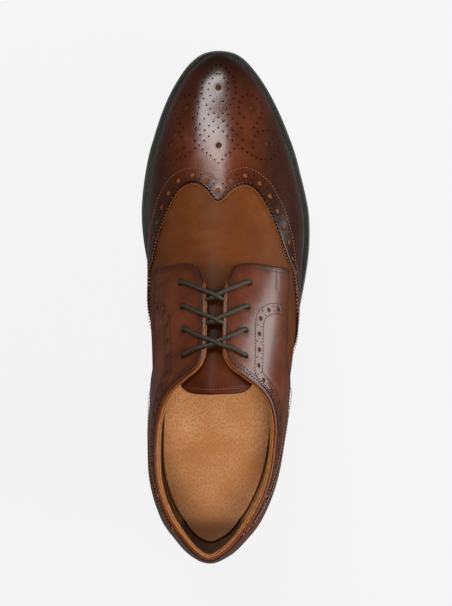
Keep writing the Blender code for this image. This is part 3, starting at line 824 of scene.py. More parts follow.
def ramp(tree: bpy.types.NodeTree, source: object, stops: list[tuple[float, str]]) -> object:
    """A colour ramp over a source; each stop is a place and an sRGB hex value."""
    made = node(tree, "ValToRGB", i0=source)
    elements = made.color_ramp.elements
    while len(elements) < len(stops):
        elements.new(0.5)
    for element, (place, colour) in zip(elements, stops):
        element.position = place
        element.color = linear(colour)
    return made.outputs[0]


def blank(name: str) -> tuple[bpy.types.Material, bpy.types.NodeTree, bpy.types.Node]:
    """A new material with its nodes and its shader."""
    material = bpy.data.materials.new(name)
    material.use_nodes = True
    return material, material.node_tree, material.node_tree.nodes["Principled BSDF"]


@dataclass(frozen=True)
class PolishedCalf:
    """Aniline-dyed calf, plated smooth and waxed: fine pores under a clear gloss, cloudy dye."""

    name: str
    deep: str
    mid: str
    light: str
    # The colour that rubbing and painted shade darken the leather towards
    rub_and_shade_colour: str
    roughness: float = 0.34
    coat: float = 0.55
    cloud_size: float = 26.0
    pore_size: float = 0.55
    # Whether the cap is darker at its toe's tip and has painted shade down its flanks
    dark_toe_and_flank_shade: bool = False
    specular: float = 0.26

    def material(self) -> bpy.types.Material:
        """The leather's nodes."""
        material, tree, shader = blank(self.name)
        place = node(tree, "TexCoord").outputs["Object"]
        cloud = node(
            tree, "TexNoise", {2: 1000 / self.cloud_size, 3: 4.0, 4: 0.62, 8: 0.6}, Vector=place
        )
        base = ramp(
            tree, cloud.outputs[0], [(0.30, self.deep), (0.5, self.mid), (0.72, self.light)]
        )
        # Darker towards the toe's tip, and painted shade down both flanks of the cap, a little more
        # on the outer side
        if self.dark_toe_and_flank_shade:
            split = node(tree, "SeparateXYZ", Vector=place)
            toe = node(
                tree, "MapRange", {1: 0.075, 2: 0.142, 3: 0.0, 4: 1.0}, Value=split.outputs[1]
            )
            moved = node(tree, "Math", {"operation": "ADD", 1: 0.005}, i0=split.outputs[0])
            wide = node(tree, "Math", {"operation": "ABSOLUTE"}, i0=moved.outputs[0])
            flank_shade = node(
                tree, "MapRange", {1: 0.006, 2: 0.034, 3: 0.0, 4: 0.85}, Value=wide.outputs[0]
            )
            dark = node(
                tree, "Math", {"operation": "MAXIMUM"}, i0=toe.outputs[0], i1=flank_shade.outputs[0]
            )
            base = node(
                tree, "Mix", {"data_type": "RGBA", 7: linear(self.rub_and_shade_colour)},
                i0=dark.outputs[0], i6=base,
            ).outputs[2]
        # Darker by the corners' rubbing and painted shade
        rubbed_and_shaded = node(tree, "Attribute", {"attribute_name": "burnish"}).outputs["Fac"]
        colour = node(
            tree, "Mix", {"data_type": "RGBA", 7: linear(self.rub_and_shade_colour)}, i0=rubbed_and_shaded, i6=base
        ).outputs[2]
        tree.links.new(colour, shader.inputs["Base Color"])
        pores = node(tree, "TexVoronoi", {2: 1000 / self.pore_size}, Vector=place)
        grain = node(tree, "TexNoise", {2: 1000 / 1.4, 3: 3.0}, Vector=place)
        mixed = node(
            tree, "Math", {"operation": "MULTIPLY_ADD", 1: 0.35}, i0=pores.outputs[0],
            i2=grain.outputs[0],
        )
        waves = node(tree, "TexNoise", {2: 1000 / 9.0, 3: 2.0}, Vector=place)
        bump = node(tree, "Bump", {0: 0.07, 1: 0.00025}, Height=mixed.outputs[0])
        swell = node(
            tree, "Bump", {0: 0.035, 1: 0.0010}, Height=waves.outputs[0], Normal=bump.outputs[0]
        )
        tree.links.new(swell.outputs[0], shader.inputs["Normal"])
        shine = node(
            tree, "MapRange",
            {1: 0.3, 2: 0.7, 3: self.roughness - 0.05, 4: self.roughness + 0.07},
            Value=cloud.outputs[0],
        )
        tree.links.new(shine.outputs[0], shader.inputs["Roughness"])
        shader.inputs["IOR"].default_value = 1.5
        shader.inputs["Coat Weight"].default_value = self.coat
        shader.inputs["Coat Roughness"].default_value = 0.20
        shader.inputs["Specular IOR Level"].default_value = self.specular
        return material


@dataclass(frozen=True)
class PlainFinish:
    """A plain finish with a cloudy colour and a fine grain, such as raw hide, thread or rubber."""

    name: str
    dark: str
    light: str
    roughness: float
    grain_size: float
    bump: float = 0.15
    depth: float = 0.0002
    # The colour of painted shade, for pieces that carry it
    rub_and_shade_colour: str = "#2e190b"
    specular: float = 0.5

    def material(self) -> bpy.types.Material:
        """The finish's nodes."""
        material, tree, shader = blank(self.name)
        place = node(tree, "TexCoord").outputs["Object"]
        noise = node(tree, "TexNoise", {2: 1000 / self.grain_size, 3: 3.0}, Vector=place)
        colour = ramp(tree, noise.outputs[0], [(0.35, self.dark), (0.65, self.light)])
        # Painted shade, where a piece carries it
        rubbed_and_shaded = node(tree, "Attribute", {"attribute_name": "burnish"}).outputs["Fac"]
        mixed = node(
            tree, "Mix", {"data_type": "RGBA", 7: linear(self.rub_and_shade_colour)}, i0=rubbed_and_shaded, i6=colour
        )
        tree.links.new(mixed.outputs[2], shader.inputs["Base Color"])
        bump = node(tree, "Bump", {0: self.bump, 1: self.depth}, Height=noise.outputs[0])
        tree.links.new(bump.outputs[0], shader.inputs["Normal"])
        shader.inputs["Roughness"].default_value = self.roughness
        shader.inputs["Specular IOR Level"].default_value = self.specular
        return material


@dataclass(frozen=True)
class PigskinSock:
    """Vegetable-tanned pigskin: tan, with short dark pores in rows, and painted shade towards its
    edges and its heel.
    """

    name: str = "insole_pigskin"
    pore_spacing: float = 1.1

    def material(self) -> bpy.types.Material:
        """The pigskin's nodes."""
        material, tree, shader = blank(self.name)
        place = node(tree, "TexCoord").outputs["Object"]
        cloud = node(tree, "TexNoise", {2: 1000 / 16.0, 3: 4.0}, Vector=place)
        base = ramp(
            tree, cloud.outputs[0], [(0.3, "#dc965c"), (0.5, "#e6a36b"), (0.7, "#f0b27c")]
        )
        tilted = node(
            tree, "Mapping", {2: (0.0, 0.0, 0.35), 3: (1.0, 0.5, 1.0)}, Vector=place
        )
        pores = node(
            tree, "TexVoronoi", {"voronoi_dimensions": "2D", 2: 1000 / self.pore_spacing},
            Vector=tilted.outputs[0],
        )
        dots = node(tree, "MapRange", {1: 0.12, 2: 0.38, 3: 0.45, 4: 0.0}, Value=pores.outputs[0])
        patch = node(tree, "MapRange", {1: 0.2, 2: 0.5, 3: 0.35, 4: 1.0}, Value=cloud.outputs[0])
        seen = node(
            tree, "Math", {"operation": "MULTIPLY"}, i0=dots.outputs[0], i1=patch.outputs[0]
        )
        dotted = node(
            tree, "Mix", {"data_type": "RGBA", 7: linear("#8a4f22")}, i0=seen.outputs[0], i6=base
        )
        # The colour of the painted shade that the insole carries
        rubbed_and_shaded = node(tree, "Attribute", {"attribute_name": "burnish"}).outputs["Fac"]
        colour = node(
            tree, "Mix", {"data_type": "RGBA", 7: linear("#6e3f18")},
            i0=rubbed_and_shaded, i6=dotted.outputs[2],
        )
        tree.links.new(colour.outputs[2], shader.inputs["Base Color"])
        fine = node(tree, "TexNoise", {2: 1000 / 0.8, 3: 3.0}, Vector=place)
        height = node(
            tree, "Math", {"operation": "SUBTRACT"}, i0=fine.outputs[0], i1=dots.outputs[0]
        )
        bump = node(tree, "Bump", {0: 0.35, 1: 0.0003}, Height=height.outputs[0])
        tree.links.new(bump.outputs[0], shader.inputs["Normal"])
        shader.inputs["Roughness"].default_value = 0.62
        return material


# The calf's finishes: deep, middle and light dye, the colour of rubbing and painted shade,
# roughness, coat of wax
CAP_CALF = PolishedCalf(
    "cap_calf", "#4b1e0c", "#5b280f", "#6c3519", "#1c0702", 0.27, 0.40, dark_toe_and_flank_shade=True
)
VAMP_CALF = PolishedCalf(
    "vamp_calf", "#51270d", "#5b2f11", "#673a1a", "#2f1505", 0.50, 0.0, specular=0.12
)
QUARTER_CALF = PolishedCalf(
    "quarter_calf", "#441c08", "#52240c", "#613017", "#1f0b04", 0.30, 0.65, 20.0
)
BEAD_CALF = PolishedCalf("bead_calf", "#4c210b", "#5b2b0f", "#6b3719", "#2b1104", 0.36, 0.15)
TONGUE_CALF = PolishedCalf(
    "tongue_calf", "#3c1605", "#481d08", "#55260e", "#1a0902", 0.5, 0.0, specular=0.12
)
# The other finishes: darker and lighter colour, roughness, size of the grain
LINING = PlainFinish("pigskin_lining", "#b57a42", "#c98e55", 0.75, 2.5, rub_and_shade_colour="#351b0a")
# The folded edge of the lining: the lining's colour darkened by painted shade
SHADED_LINING_EDGE = PlainFinish("folded_lining_painted_shade", "#6f4321", "#85532c", 0.75, 2.5)
RAW_HIDE = PlainFinish("raw_hide", "#96562a", "#b0703c", 0.7, 1.2)
HOLE_HIDE = PlainFinish(
    "hole_hide", "#6d3c1f", "#84502c", 0.75, 1.2, rub_and_shade_colour="#2c1207", specular=0.1
)
THREAD = PlainFinish("linen_thread", "#6d3c1c", "#875228", 0.7, 0.4)
DARK_THREAD = PlainFinish("dark_linen_thread", "#210f07", "#35190c", 0.7, 0.4)
RUBBER = PlainFinish("moulded_rubber", "#111211", "#1a1b1a", 0.55, 0.9)
WELT_RUBBER = PlainFinish("welt_rubber", "#252521", "#34342e", 0.48, 0.9)
HEEL_STACK = PlainFinish("heel_stack", "#1d1a16", "#2b2621", 0.5, 1.5)
WAXED_CORD = PlainFinish("waxed_cord", "#1e1910", "#352e1f", 0.62, 0.7, 0.4)


def finish_piece(piece: bpy.types.Object, slot: str, *nodes: str) -> None:
    """Lets a piece ride on the shoe and hides the imported parts that it stands for."""
    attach(piece, BODY)
    if nodes:
        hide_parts(*nodes)


# The wing's outer row of stitches, as the wing's edge is given
WING_STITCH = np.array([
    (-1.0, 128.0), (-0.93, 141.0), (-0.86, 160.0), (-0.80, 178.0), (-0.746, 194.3),
    (-0.669, 203.0), (-0.616, 210.3), (-0.559, 216.3), (-0.484, 221.7), (-0.361, 226.8),
    (-0.219, 228.3), (-0.09, 224.9), (0.0, 220.7), (0.081, 224.9), (0.204, 228.6), (0.274, 227.5),
    (0.351, 224.7), (0.424, 220.1), (0.479, 213.3), (0.521, 208.0), (0.566, 199.5),
    (0.601, 192.9), (0.644, 181.7), (0.67, 170.0), (0.72, 155.0), (0.80, 138.0), (0.90, 126.0),
    (1.0, 120.0),
])

# The medallion's small holes on one half: across from the middle line, and place
MEDALLION = (
    (1.3, 290.6), (4.3, 288.4), (6.4, 286.1), (8.6, 283.2), (9.6, 280.1), (10.0, 276.8),
    (10.1, 273.5), (8.9, 270.3), (7.0, 266.2), (1.0, 285.0), (3.5, 282.3), (5.5, 279.4),
    (6.0, 275.7), (4.8, 271.7), (2.8, 268.1), (4.7, 263.6), (2.6, 261.0), (0.0, 258.6),
    (5.8, 260.3), (8.4, 257.9), (11.0, 255.0), (13.5, 252.5), (3.0, 256.1), (5.6, 253.6),
    (8.1, 251.0), (10.8, 248.3), (0.0, 252.1), (2.8, 249.9), (5.6, 247.2), (8.3, 244.8),
    (14.1, 244.8), (0.0, 230.9), (2.3, 233.0), (4.6, 235.6), (6.9, 237.2), (9.3, 239.7),
    (11.4, 242.1), (13.9, 240.1), (16.7, 238.0), (19.5, 236.0), (22.2, 234.7), (14.0, 271.5),
    (17.1, 273.2), (20.2, 272.6), (22.9, 271.5), (25.1, 269.0), (26.2, 266.2), (25.6, 262.7),
    (24.5, 259.6), (22.7, 256.1), (20.7, 253.2), (12.4, 268.4), (11.9, 265.0), (12.4, 261.3),
    (15.0, 258.9), (23.0, 251.0), (26.2, 251.7), (29.7, 252.5), (32.6, 251.7), (35.1, 249.9),
    (36.0, 247.2), (36.0, 243.7), (35.2, 240.5), (33.1, 237.2), (31.0, 235.1), (28.0, 234.3),
    (24.7, 234.3), (21.5, 248.0), (20.4, 244.5), (20.3, 240.9),
)
# Its large holes: across, place
MEDALLION_LARGE = ((0.0, 276.5), (0.0, 241.7), (19.4, 265.3), (28.3, 243.7))
MEDALLION_MIDDLE = -4.4

# The middle of the quarters' punched strips: place, around
STRIP = {
    Side.LATERAL: np.array([
        (146.3, 0.47), (147.2, 0.41), (146.7, 0.35), (143.6, 0.290), (139, 0.272),
        (132, 0.270), (124, 0.268), (117.5, 0.226), (112, 0.14), (107, 0.105), (100, 0.10),
        (92, 0.105), (75, 0.11), (56, 0.12), (40, 0.13), (33, 0.14),
    ]),
    Side.MEDIAL: np.array([
        (147.2, 0.52), (147.8, 0.47), (147.0, 0.43), (144.2, 0.388), (139, 0.372),
        (132, 0.366), (124, 0.355), (117.5, 0.317), (112, 0.235), (106, 0.18), (98, 0.15),
        (85, 0.13), (70, 0.12), (56, 0.12), (40, 0.13), (33, 0.14),
    ]),
}


class Stitcher:
    """Sews rows: one thread stitch is modelled and repeated along every row."""

    LENGTH = 1.3
    THICKNESS = 0.62

    def __init__(self, last: Last) -> None:
        """Models the one stitch."""
        self.last = last
        deselect()
        bpy.ops.mesh.primitive_uv_sphere_add(segments=6, ring_count=5, radius=0.5)
        pattern = bpy.context.object
        pattern.rotation_euler = (0, math.radians(90), 0)
        bpy.ops.object.transform_apply(rotation=True)
        pattern.scale = (self.LENGTH, self.THICKNESS, self.THICKNESS)
        bpy.ops.object.transform_apply(scale=True)
        self.pattern = np.array([tuple(v.co) for v in pattern.data.vertices])
        self.faces = [list(face.vertices) for face in pattern.data.polygons]
        bpy.data.objects.remove(pattern, do_unlink=True)

    def sew(self, name: str, rows: list[Row], material: bpy.types.Material) -> bpy.types.Object:
        """The stitches of all rows as one piece.

        Args:
            name: The piece's name.
            rows: The rows to sew.
            material: The thread.

        Returns:
            The piece.
        """
        points, faces = [], []
        for row in rows:
            spots = self.last.resample(row.spots, row.pitch)
            middle = self.last.skin(spots, row.lift - 0.02)
            ahead = np.gradient(middle, axis=0)
            ahead /= np.linalg.norm(ahead, axis=1, keepdims=True)
            normal = self.last.frame(spots)[2]
            across = np.cross(normal, ahead)
            across /= np.linalg.norm(across, axis=1, keepdims=True)
            up = np.cross(ahead, across)
            for m, a, c, u in zip(middle, ahead, across, up):
                start = sum(len(p) for p in points)
                points.append(m + self.pattern @ np.stack([a, c, u]))
                faces += [[k + start for k in face] for face in self.faces]
        return make_piece(name, np.concatenate(points), faces, material, sharp=80.0)


def gimped(last: Last, spots: np.ndarray, outward: int, pitch: float = 2.3) -> np.ndarray:
    """A pinked edge: little points along a line of spots.

    Args:
        last: The last.
        spots: The line, in its own signed distances.
        outward: 1 for points on the line's left, -1 for its right.
        pitch: From point to point.

    Returns:
        The pinked line.
    """
    line = last.resample(spots, pitch / 8)
    count = np.arange(len(line))
    swing = 0.42 * np.abs(np.sin(math.pi * count / 8)) * outward
    swing[[0, -1]] = 0
    side = last.sideways(line)
    moved = last.move(line, side * swing[:, None])
    moved[:, 0] = np.clip(moved[:, 0], 0, math.pi)
    return moved


def large_and_small(last: Last, spots: np.ndarray, pitch: float, radius: float) -> list[Hole]:
    """Punched holes along a line: a large one, then a pair of small ones side by side.

    Args:
        last: The last.
        spots: The strip's middle line, from where a large hole starts it.
        pitch: From one large hole to the next.
        radius: The large holes' radius.

    Returns:
        The holes.
    """
    line = last.resample(spots, pitch / 2)
    side = last.sideways(line)
    holes = [(a, v, radius) for a, v in line[::2]]
    for turn in (-1, 1):
        moved = last.move(line[1::2], side[1::2] * PAIR_OFFSET * turn)
        holes += [(a, v, PIN_HOLE) for a, v in moved]
    return holes


@dataclass
class WingCap:
    """The toe cap with its wings, its medallion and its punched strip."""

    last: Last
    stitcher: Stitcher
    hole_pitch: float = 9.6
    hole_radius: float = WING_HOLE

    SEARCH_STEPS: ClassVar[int] = 721

    def line(self, table: np.ndarray, side: int) -> np.ndarray:
        """A line of the wing from its middle to the welt on one side."""
        around = np.linspace(0, side, 160)
        return self.last.at_place(curve(table, around), around + 1e-9 * side)

    def medallion(self) -> list[Hole]:
        """The punched ornament on the toe."""
        sides = np.array([-1.0, 1.0])
        found = []
        holes = [(*hole, FINE_HOLE) for hole in MEDALLION]
        holes += [(*hole, MEDALLION_HOLE) for hole in MEDALLION_LARGE]
        around = np.linspace(-0.9, 0.9, self.SEARCH_STEPS)
        for across, place, radius in holes:
            for side in sides if across > 0.3 else sides[:1]:
                angle = float(self.last.span.angle(place))
                spots = np.stack([np.full(self.SEARCH_STEPS, angle), around], 1)
                x = self.last.skin(spots, OVERLAY)[:, 0]
                spot = float(np.interp(MEDALLION_MIDDLE + side * across, x, around))
                found.append((angle, spot, radius))
        return found

    def build(self, leather: bpy.types.Material, thread: bpy.types.Material) -> list[Hole]:
        """The cap and its stitches.

        Args:
            leather: The cap's finish.
            thread: The stitches' finish.

        Returns:
            The punched holes that need a backing.
        """
        holes, rows = self.medallion(), []
        for side in (-1, 1):
            edge, stitch = self.line(WING_EDGE, side), self.line(WING_STITCH, side)
            middle = self.last.resample((edge + stitch) / 2, 0.5)
            strip = large_and_small(self.last, middle, self.hole_pitch, self.hole_radius)
            holes += [h for h in strip if 0.02 < abs(h[1]) < 0.97]
            if side > 0:
                first = (edge[0] + stitch[0]) / 2
                holes.append((float(first[0]), 0.0, self.hole_radius))
            rows.append(Row(stitch))
            rows.append(Row(self.last.beside(edge, 1.3 * -side)))
        cap = Panel(self.last, "wing_cap_leather", 0.1, OVERLAY, holes=holes, rows=rows)
        tip = math.pi
        for side in (-1, 1):
            sign = np.array([1.0, side])
            edge = gimped(self.last, self.line(WING_EDGE, side), side) * sign
            edge[:, 1] = np.clip(edge[:, 1], 0, 1)
            edge[0, 1], edge[-1, 1] = 0.0, 1.0
            welt = np.stack([np.linspace(edge[-1, 0], tip, 130), np.ones(130)], 1)
            end = np.stack([np.full(46, tip), np.linspace(1, 0, 46)], 1)
            crest = np.stack([np.linspace(tip, edge[0, 0], 60), np.zeros(60)], 1)
            closed = [Border(spots, False) for spots in (welt, end, crest)]
            cap.add_side(side, [Border(edge), *closed])
        piece = cap.build(leather)
        finish_piece(piece, "cap_leather", "wing_cap")
        sewn = self.stitcher.sew("wing_cap_stitches", rows, thread)
        finish_piece(sewn, "cap_leather")
        return holes


@dataclass
class Upper:
    """The vamp, drawn over the whole last, and its lining."""

    last: Last

    def creases(self, spots: np.ndarray) -> np.ndarray:
        """The soft break of the vamp behind the cap: two shallow waves across the foot."""
        place = self.last.span.place(spots[:, 0])
        across = np.abs(spots[:, 1])
        fade = 1 - smooth((across - 0.22) / 0.3)
        waves = np.zeros(len(spots))
        for middle, bow, width, depth in ((197.0, 9.0, 4.2, 0.40), (186.5, 6.0, 3.4, 0.30)):
            line = middle - bow * across
            waves -= depth * np.exp(-(((place - line) / width) ** 2)) * fade
        return waves

    def rubbed_and_shaded(self, x: np.ndarray, place: np.ndarray) -> np.ndarray:
        """The vamp is darker in front of the tabs, more so between them, and deep in painted shade
        between the tabs under the laces.
        """
        between = 1 - smooth((np.abs(x - VAMP_MIDDLE) - 9.0) / 8.0)
        ahead = smooth((181.0 - place) / 17.0) * (0.34 + 0.42 * between)
        return np.maximum(ahead, 0.95 * between * smooth((166.0 - place) / 8.0))

    def throat_shade(self, spots: np.ndarray) -> np.ndarray:
        """The vamp's darkening: painted shade between the tabs and a little towards its sides, and
        darker in front of the tabs.
        """
        ground = self.last.skin(spots, 0.0)
        sides = 0.14 * smooth((np.abs(spots[:, 1]) - 0.35) / 0.3)
        return np.maximum(self.rubbed_and_shaded(ground[:, 0], ground[:, 1]), sides)

    def heel_shade(self, spots: np.ndarray) -> np.ndarray:
        """Painted shade on the lining: dark behind the heel, and darker all round, most on the
        inner side.
        """
        rear = 0.95 * smooth((27.0 - self.last.span.place(spots[:, 0])) / 9.0)
        return np.maximum(rear, np.where(spots[:, 1] < 0, 0.60, 0.30))

    def throat_patch(self, leather: bpy.types.Material) -> None:
        """The vamp's own leather where it runs on under the tabs and falls to the tongue."""
        columns, rows = 44, 60
        across, place = np.meshgrid(
            np.linspace(-13, 13, columns + 1), np.linspace(183, 140, rows + 1)
        )
        ahead = smooth((place - 176.0) / 6.0)
        behind = smooth((168.0 - place) / 16.0)
        height = 0.06 - 0.5 * ahead - 3.2 * behind
        face = self.last.under(place, across + VAMP_MIDDLE, height)
        back = self.last.under(place, across + VAMP_MIDDLE, height - 0.8)
        points, faces = sheet_mesh(face, back)
        # Painted shade between the tabs and under the laces, and darker in front of the tabs, as on
        # the vamp
        shade = np.tile(self.rubbed_and_shaded(across + VAMP_MIDDLE, place).ravel(), 2)
        finish_piece(make_piece("vamp_throat", points, faces, leather, shade), "vamp_leather")

    def shell(
        self, name: str, base: float, top: float, spacing: float, painted_shade: Callable | None = None
    ) -> Panel:
        """A wall between two offsets from the last, open at collar, throat and below."""
        panel = Panel(self.last, name, base, top, spacing, 0.8, painted_shade=painted_shade)
        panel.relief = self.creases if top == 0.0 else None
        throat = float(self.last.brim_angles[-1])
        for side in (-1, 1):
            welt = np.stack([np.linspace(0, math.pi, 170), np.ones(170)], 1)
            toe = np.stack([np.full(46, math.pi), np.linspace(1, 0, 46)], 1)
            crest = np.stack([np.linspace(math.pi, throat, 60), np.zeros(60)], 1)
            brim = np.stack([np.linspace(throat, 0, 160), np.zeros(160)], 1)
            heel = np.stack([np.zeros(40), np.linspace(0, 1, 40)], 1)
            borders = [Border(spots, False) for spots in (welt, toe, crest, brim, heel)]
            panel.add_side(side, borders)
        return panel

    def build(self, leather: bpy.types.Material, lining: bpy.types.Material) -> None:
        """The vamp and the lining, which stand for the upper's solid."""
        vamp = self.shell("vamp_leather", -1.0, 0.0, 1.7, self.throat_shade).build(leather)
        finish_piece(vamp, "vamp_leather", "upper")
        inner = self.shell("upper_lining", -WALL, -1.05, 3.2, self.heel_shade)
        finish_piece(inner.build(lining), "vamp_leather")
        self.throat_patch(leather)


@dataclass
class Quarter:
    """One lacing quarter: its tab, its sewn edges and its punched strip."""

    last: Last
    stitcher: Stitcher
    side: Side
    eyelet_radius: float = 1.75
    hole_pitch: float = 9.2
    foot: float = 0.452
    under_counter: float = 2.5

    def brim_line(self, start: float, stop: float, around: float) -> np.ndarray:
        """A line at a small distance below the top edge, between two places."""
        place = np.linspace(start, stop, 220)
        return self.last.at_place(place, np.full(220, around) * self.side.value)

    def outline(self) -> list[Border]:
        """The quarter's outline, from the foot of its front round its top edge and back."""
        height = np.linspace(self.foot, 1.0, 70)
        front = self.last.at_place(curve(TAB_FRONT, height), 1 - height)
        top = self.last.at_place(np.linspace(160.0, 21.0, 200), 0.0)
        low = np.linspace(1.0, 0.50, 40)
        rear = self.last.at_place(curve(COUNTER_EDGE, low) - self.under_counter, 1 - low)
        rear[:, 0] = np.maximum(rear[:, 0], 0.05)
        top[-1] = rear[0]
        start, stop = self.last.span.place(rear[-1, 0]), curve(TAB_FRONT, self.foot)
        place = np.linspace(float(start), float(stop), 160)
        seam = self.last.at_place(place, 1 - curve(QUARTER_LOW, place))
        seam[0], seam[-1] = rear[-1], front[0]
        return [Border(front), Border(top), Border(rear, False), Border(seam)]

    def eyelets(self) -> list[Hole]:
        """The eyelet holes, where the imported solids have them."""
        found = []
        turn = self.side.value
        around = np.linspace(0.0, 0.6, 400)
        for place, offset in EYELETS:
            angle = float(self.last.span.angle(place))
            spots = np.stack([np.full(400, angle), around * turn], 1)
            x = self.last.skin(spots, 0.0)[:, 0] * turn
            target = (THROAT_X + turn * offset) * turn
            spot = float(np.interp(target, x, spots[:, 1] * turn)) * turn
            found.append((angle, spot, self.eyelet_radius))
        return found

    def strip(self) -> tuple[np.ndarray, list[np.ndarray]]:
        """The punched strip's middle line and the two rows that bound it."""
        table = STRIP[self.side]
        run = np.linspace(0, len(table) - 1, 400)
        knots = np.c_[np.arange(len(table)), table]
        place, around = curve(knots, run, 1), curve(knots, run, 2)
        middle = self.last.resample(self.last.at_place(place, around * self.side.value), 0.6)
        return middle, [self.last.beside(middle, 2.9), self.last.beside(middle, -2.9)]

    def build(self, leather: bpy.types.Material, thread: bpy.types.Material) -> list[Hole]:
        """The quarter and its stitches.

        Args:
            leather: The quarter's finish.
            thread: Its thread.

        Returns:
            The punched holes that need a backing.
        """
        sign = np.array([1.0, self.side.value])
        front, top, _, seam = self.outline()
        middle, bounds = self.strip()
        holes = large_and_small(self.last, middle[6:], self.hole_pitch, QUARTER_HOLE)
        holes = [h for h in holes if 0.02 < abs(h[1]) < 0.5]
        turn = self.side.value
        around_edge = np.concatenate([front.spots[:-1], top.spots[:112]]) * sign
        edge_rows = [Row(self.last.beside(around_edge, distance * turn)) for distance in (1.5, 3.2)]
        collar = Row(self.brim_line(112.0, 24.0, 0.045))
        low = Row(self.last.beside(seam.spots[6:] * sign, 1.5 * turn))
        tack = np.stack([np.linspace(168.5, 158.5, 30), np.full(30, 0.40 if turn > 0 else 0.50)], 1)
        bartack = Row(self.last.at_place(tack[:, 0], tack[:, 1] * turn), 1.6)
        strip_rows = [Row(bound, 1.7) for bound in bounds]
        name = f"quarter_{self.side.name.lower()}"
        panel = Panel(self.last, name + "_leather", 0.05, OVERLAY)
        panel.holes = holes + self.eyelets()
        panel.rows = [*edge_rows, collar, low, bartack, *strip_rows]
        panel.add_side(turn, self.outline())
        finish_piece(panel.build(leather), "quarter_leather", name)
        sewn = self.stitcher.sew(name + "_stitches", [*edge_rows, collar, low, bartack], thread)
        finish_piece(sewn, "quarter_leather")
        fine = self.stitcher.sew(name + "_strip_stitches", strip_rows, thread)
        finish_piece(fine, "quarter_leather")
        return holes


@dataclass
class HeelCounter:
    """The counter cover round the heel, with its pinked edge and punched strip."""

    last: Last
    stitcher: Stitcher
    top: float = 2.2
    hole_pitch: float = 9.2

    def line(self, side: int) -> np.ndarray:
        """Its front edge from the collar to the welt."""
        height = np.linspace(1.0, 0.0, 150)
        around = (1 - height) * side + 1e-9 * side
        return self.last.at_place(curve(COUNTER_EDGE, height), around)

    def build(self, leather: bpy.types.Material, thread: bpy.types.Material) -> None:
        """The counter cover and its stitches; its holes have no backing."""
        holes, rows = [], []
        for side in (-1, 1):
            edge = self.line(side)
            middle = self.last.resample(self.last.beside(edge, 4.6 * side), 0.6)
            strip = large_and_small(self.last, middle[5:], self.hole_pitch, COUNTER_HOLE)
            holes += [h for h in strip if 0.05 < abs(h[1]) < 0.95]
            rows += [Row(self.last.beside(edge, d * side), lift=self.top) for d in (1.3, 7.8)]
        panel = Panel(self.last, "heel_counter_leather", 0.1, self.top, holes=holes, rows=rows)
        for side in (-1, 1):
            sign = np.array([1.0, side])
            edge = gimped(self.last, self.line(side), -side) * sign
            edge[:, 1] = np.clip(edge[:, 1], 0, 1)
            edge[0, 1], edge[-1, 1] = 0.0, 1.0
            welt = np.stack([np.linspace(edge[-1, 0], 0, 60), np.ones(60)], 1)
            back = np.stack([np.zeros(40), np.linspace(1, 0, 40)], 1)
            brim = np.stack([np.linspace(0, edge[0, 0], 30), np.zeros(30)], 1)
            borders = [Border(edge), Border(welt, False), Border(back, False), Border(brim)]
            panel.add_side(side, borders)
        finish_piece(panel.build(leather), "quarter_leather", "heel_counter")
        sewn = self.stitcher.sew("heel_counter_stitches", rows, thread)
        finish_piece(sewn, "quarter_leather")


@dataclass
class CollarEdge:
    """The top edge all round: a turned bead of calf, and the raw edge of the hide inside it."""

    last: Last
    front: float = 163.5

    def build(
        self, bead: bpy.types.Material, raw: bpy.types.Material, inner: bpy.types.Material
    ) -> None:
        """The bead, the raw edge and the lining's own edge."""
        throat = float(self.last.span.angle(self.front))
        half = np.linspace(throat, 0, 260)
        outer = np.stack([half, np.full(260, 1e-9)], 1)
        line = np.concatenate([outer, (outer * (1, -1))[-2::-1]])
        base = self.last.skin(line, 0.0)
        sides = np.where(line[:, 1] < 0, -1.0, 1.0)
        normal = self.last.normal(line[:, 0], np.abs(line[:, 1]), sides)
        ahead = np.gradient(base, axis=0)
        up = np.cross(ahead, normal)
        up /= np.linalg.norm(up, axis=1, keepdims=True)
        up *= np.where(up[:, 2:] < 0, -1.0, 1.0)
        taper = smooth(np.minimum(np.arange(len(line)), np.arange(len(line))[::-1]) / 5.0 + 0.15)
        shapes = (
            ("collar_bead", bead, ellipse(1.55, 1.7, 12, (0.85, 0.05)), "quarter_leather"),
            ("collar_raw_edge", raw, ellipse(0.8, 1.2, 10, (-0.28, 0.1)), "quarter_leather"),
            ("lining_edge", inner, ellipse(1.2, 0.9, 10, (-1.2, -0.2)), "vamp_leather"),
        )
        for name, material, profile, slot in shapes:
            rings = profile[None] * taper[:, None, None]
            points, faces = tube_mesh(base, normal, up, rings, False)
            finish_piece(make_piece(name, points, faces, material), slot)


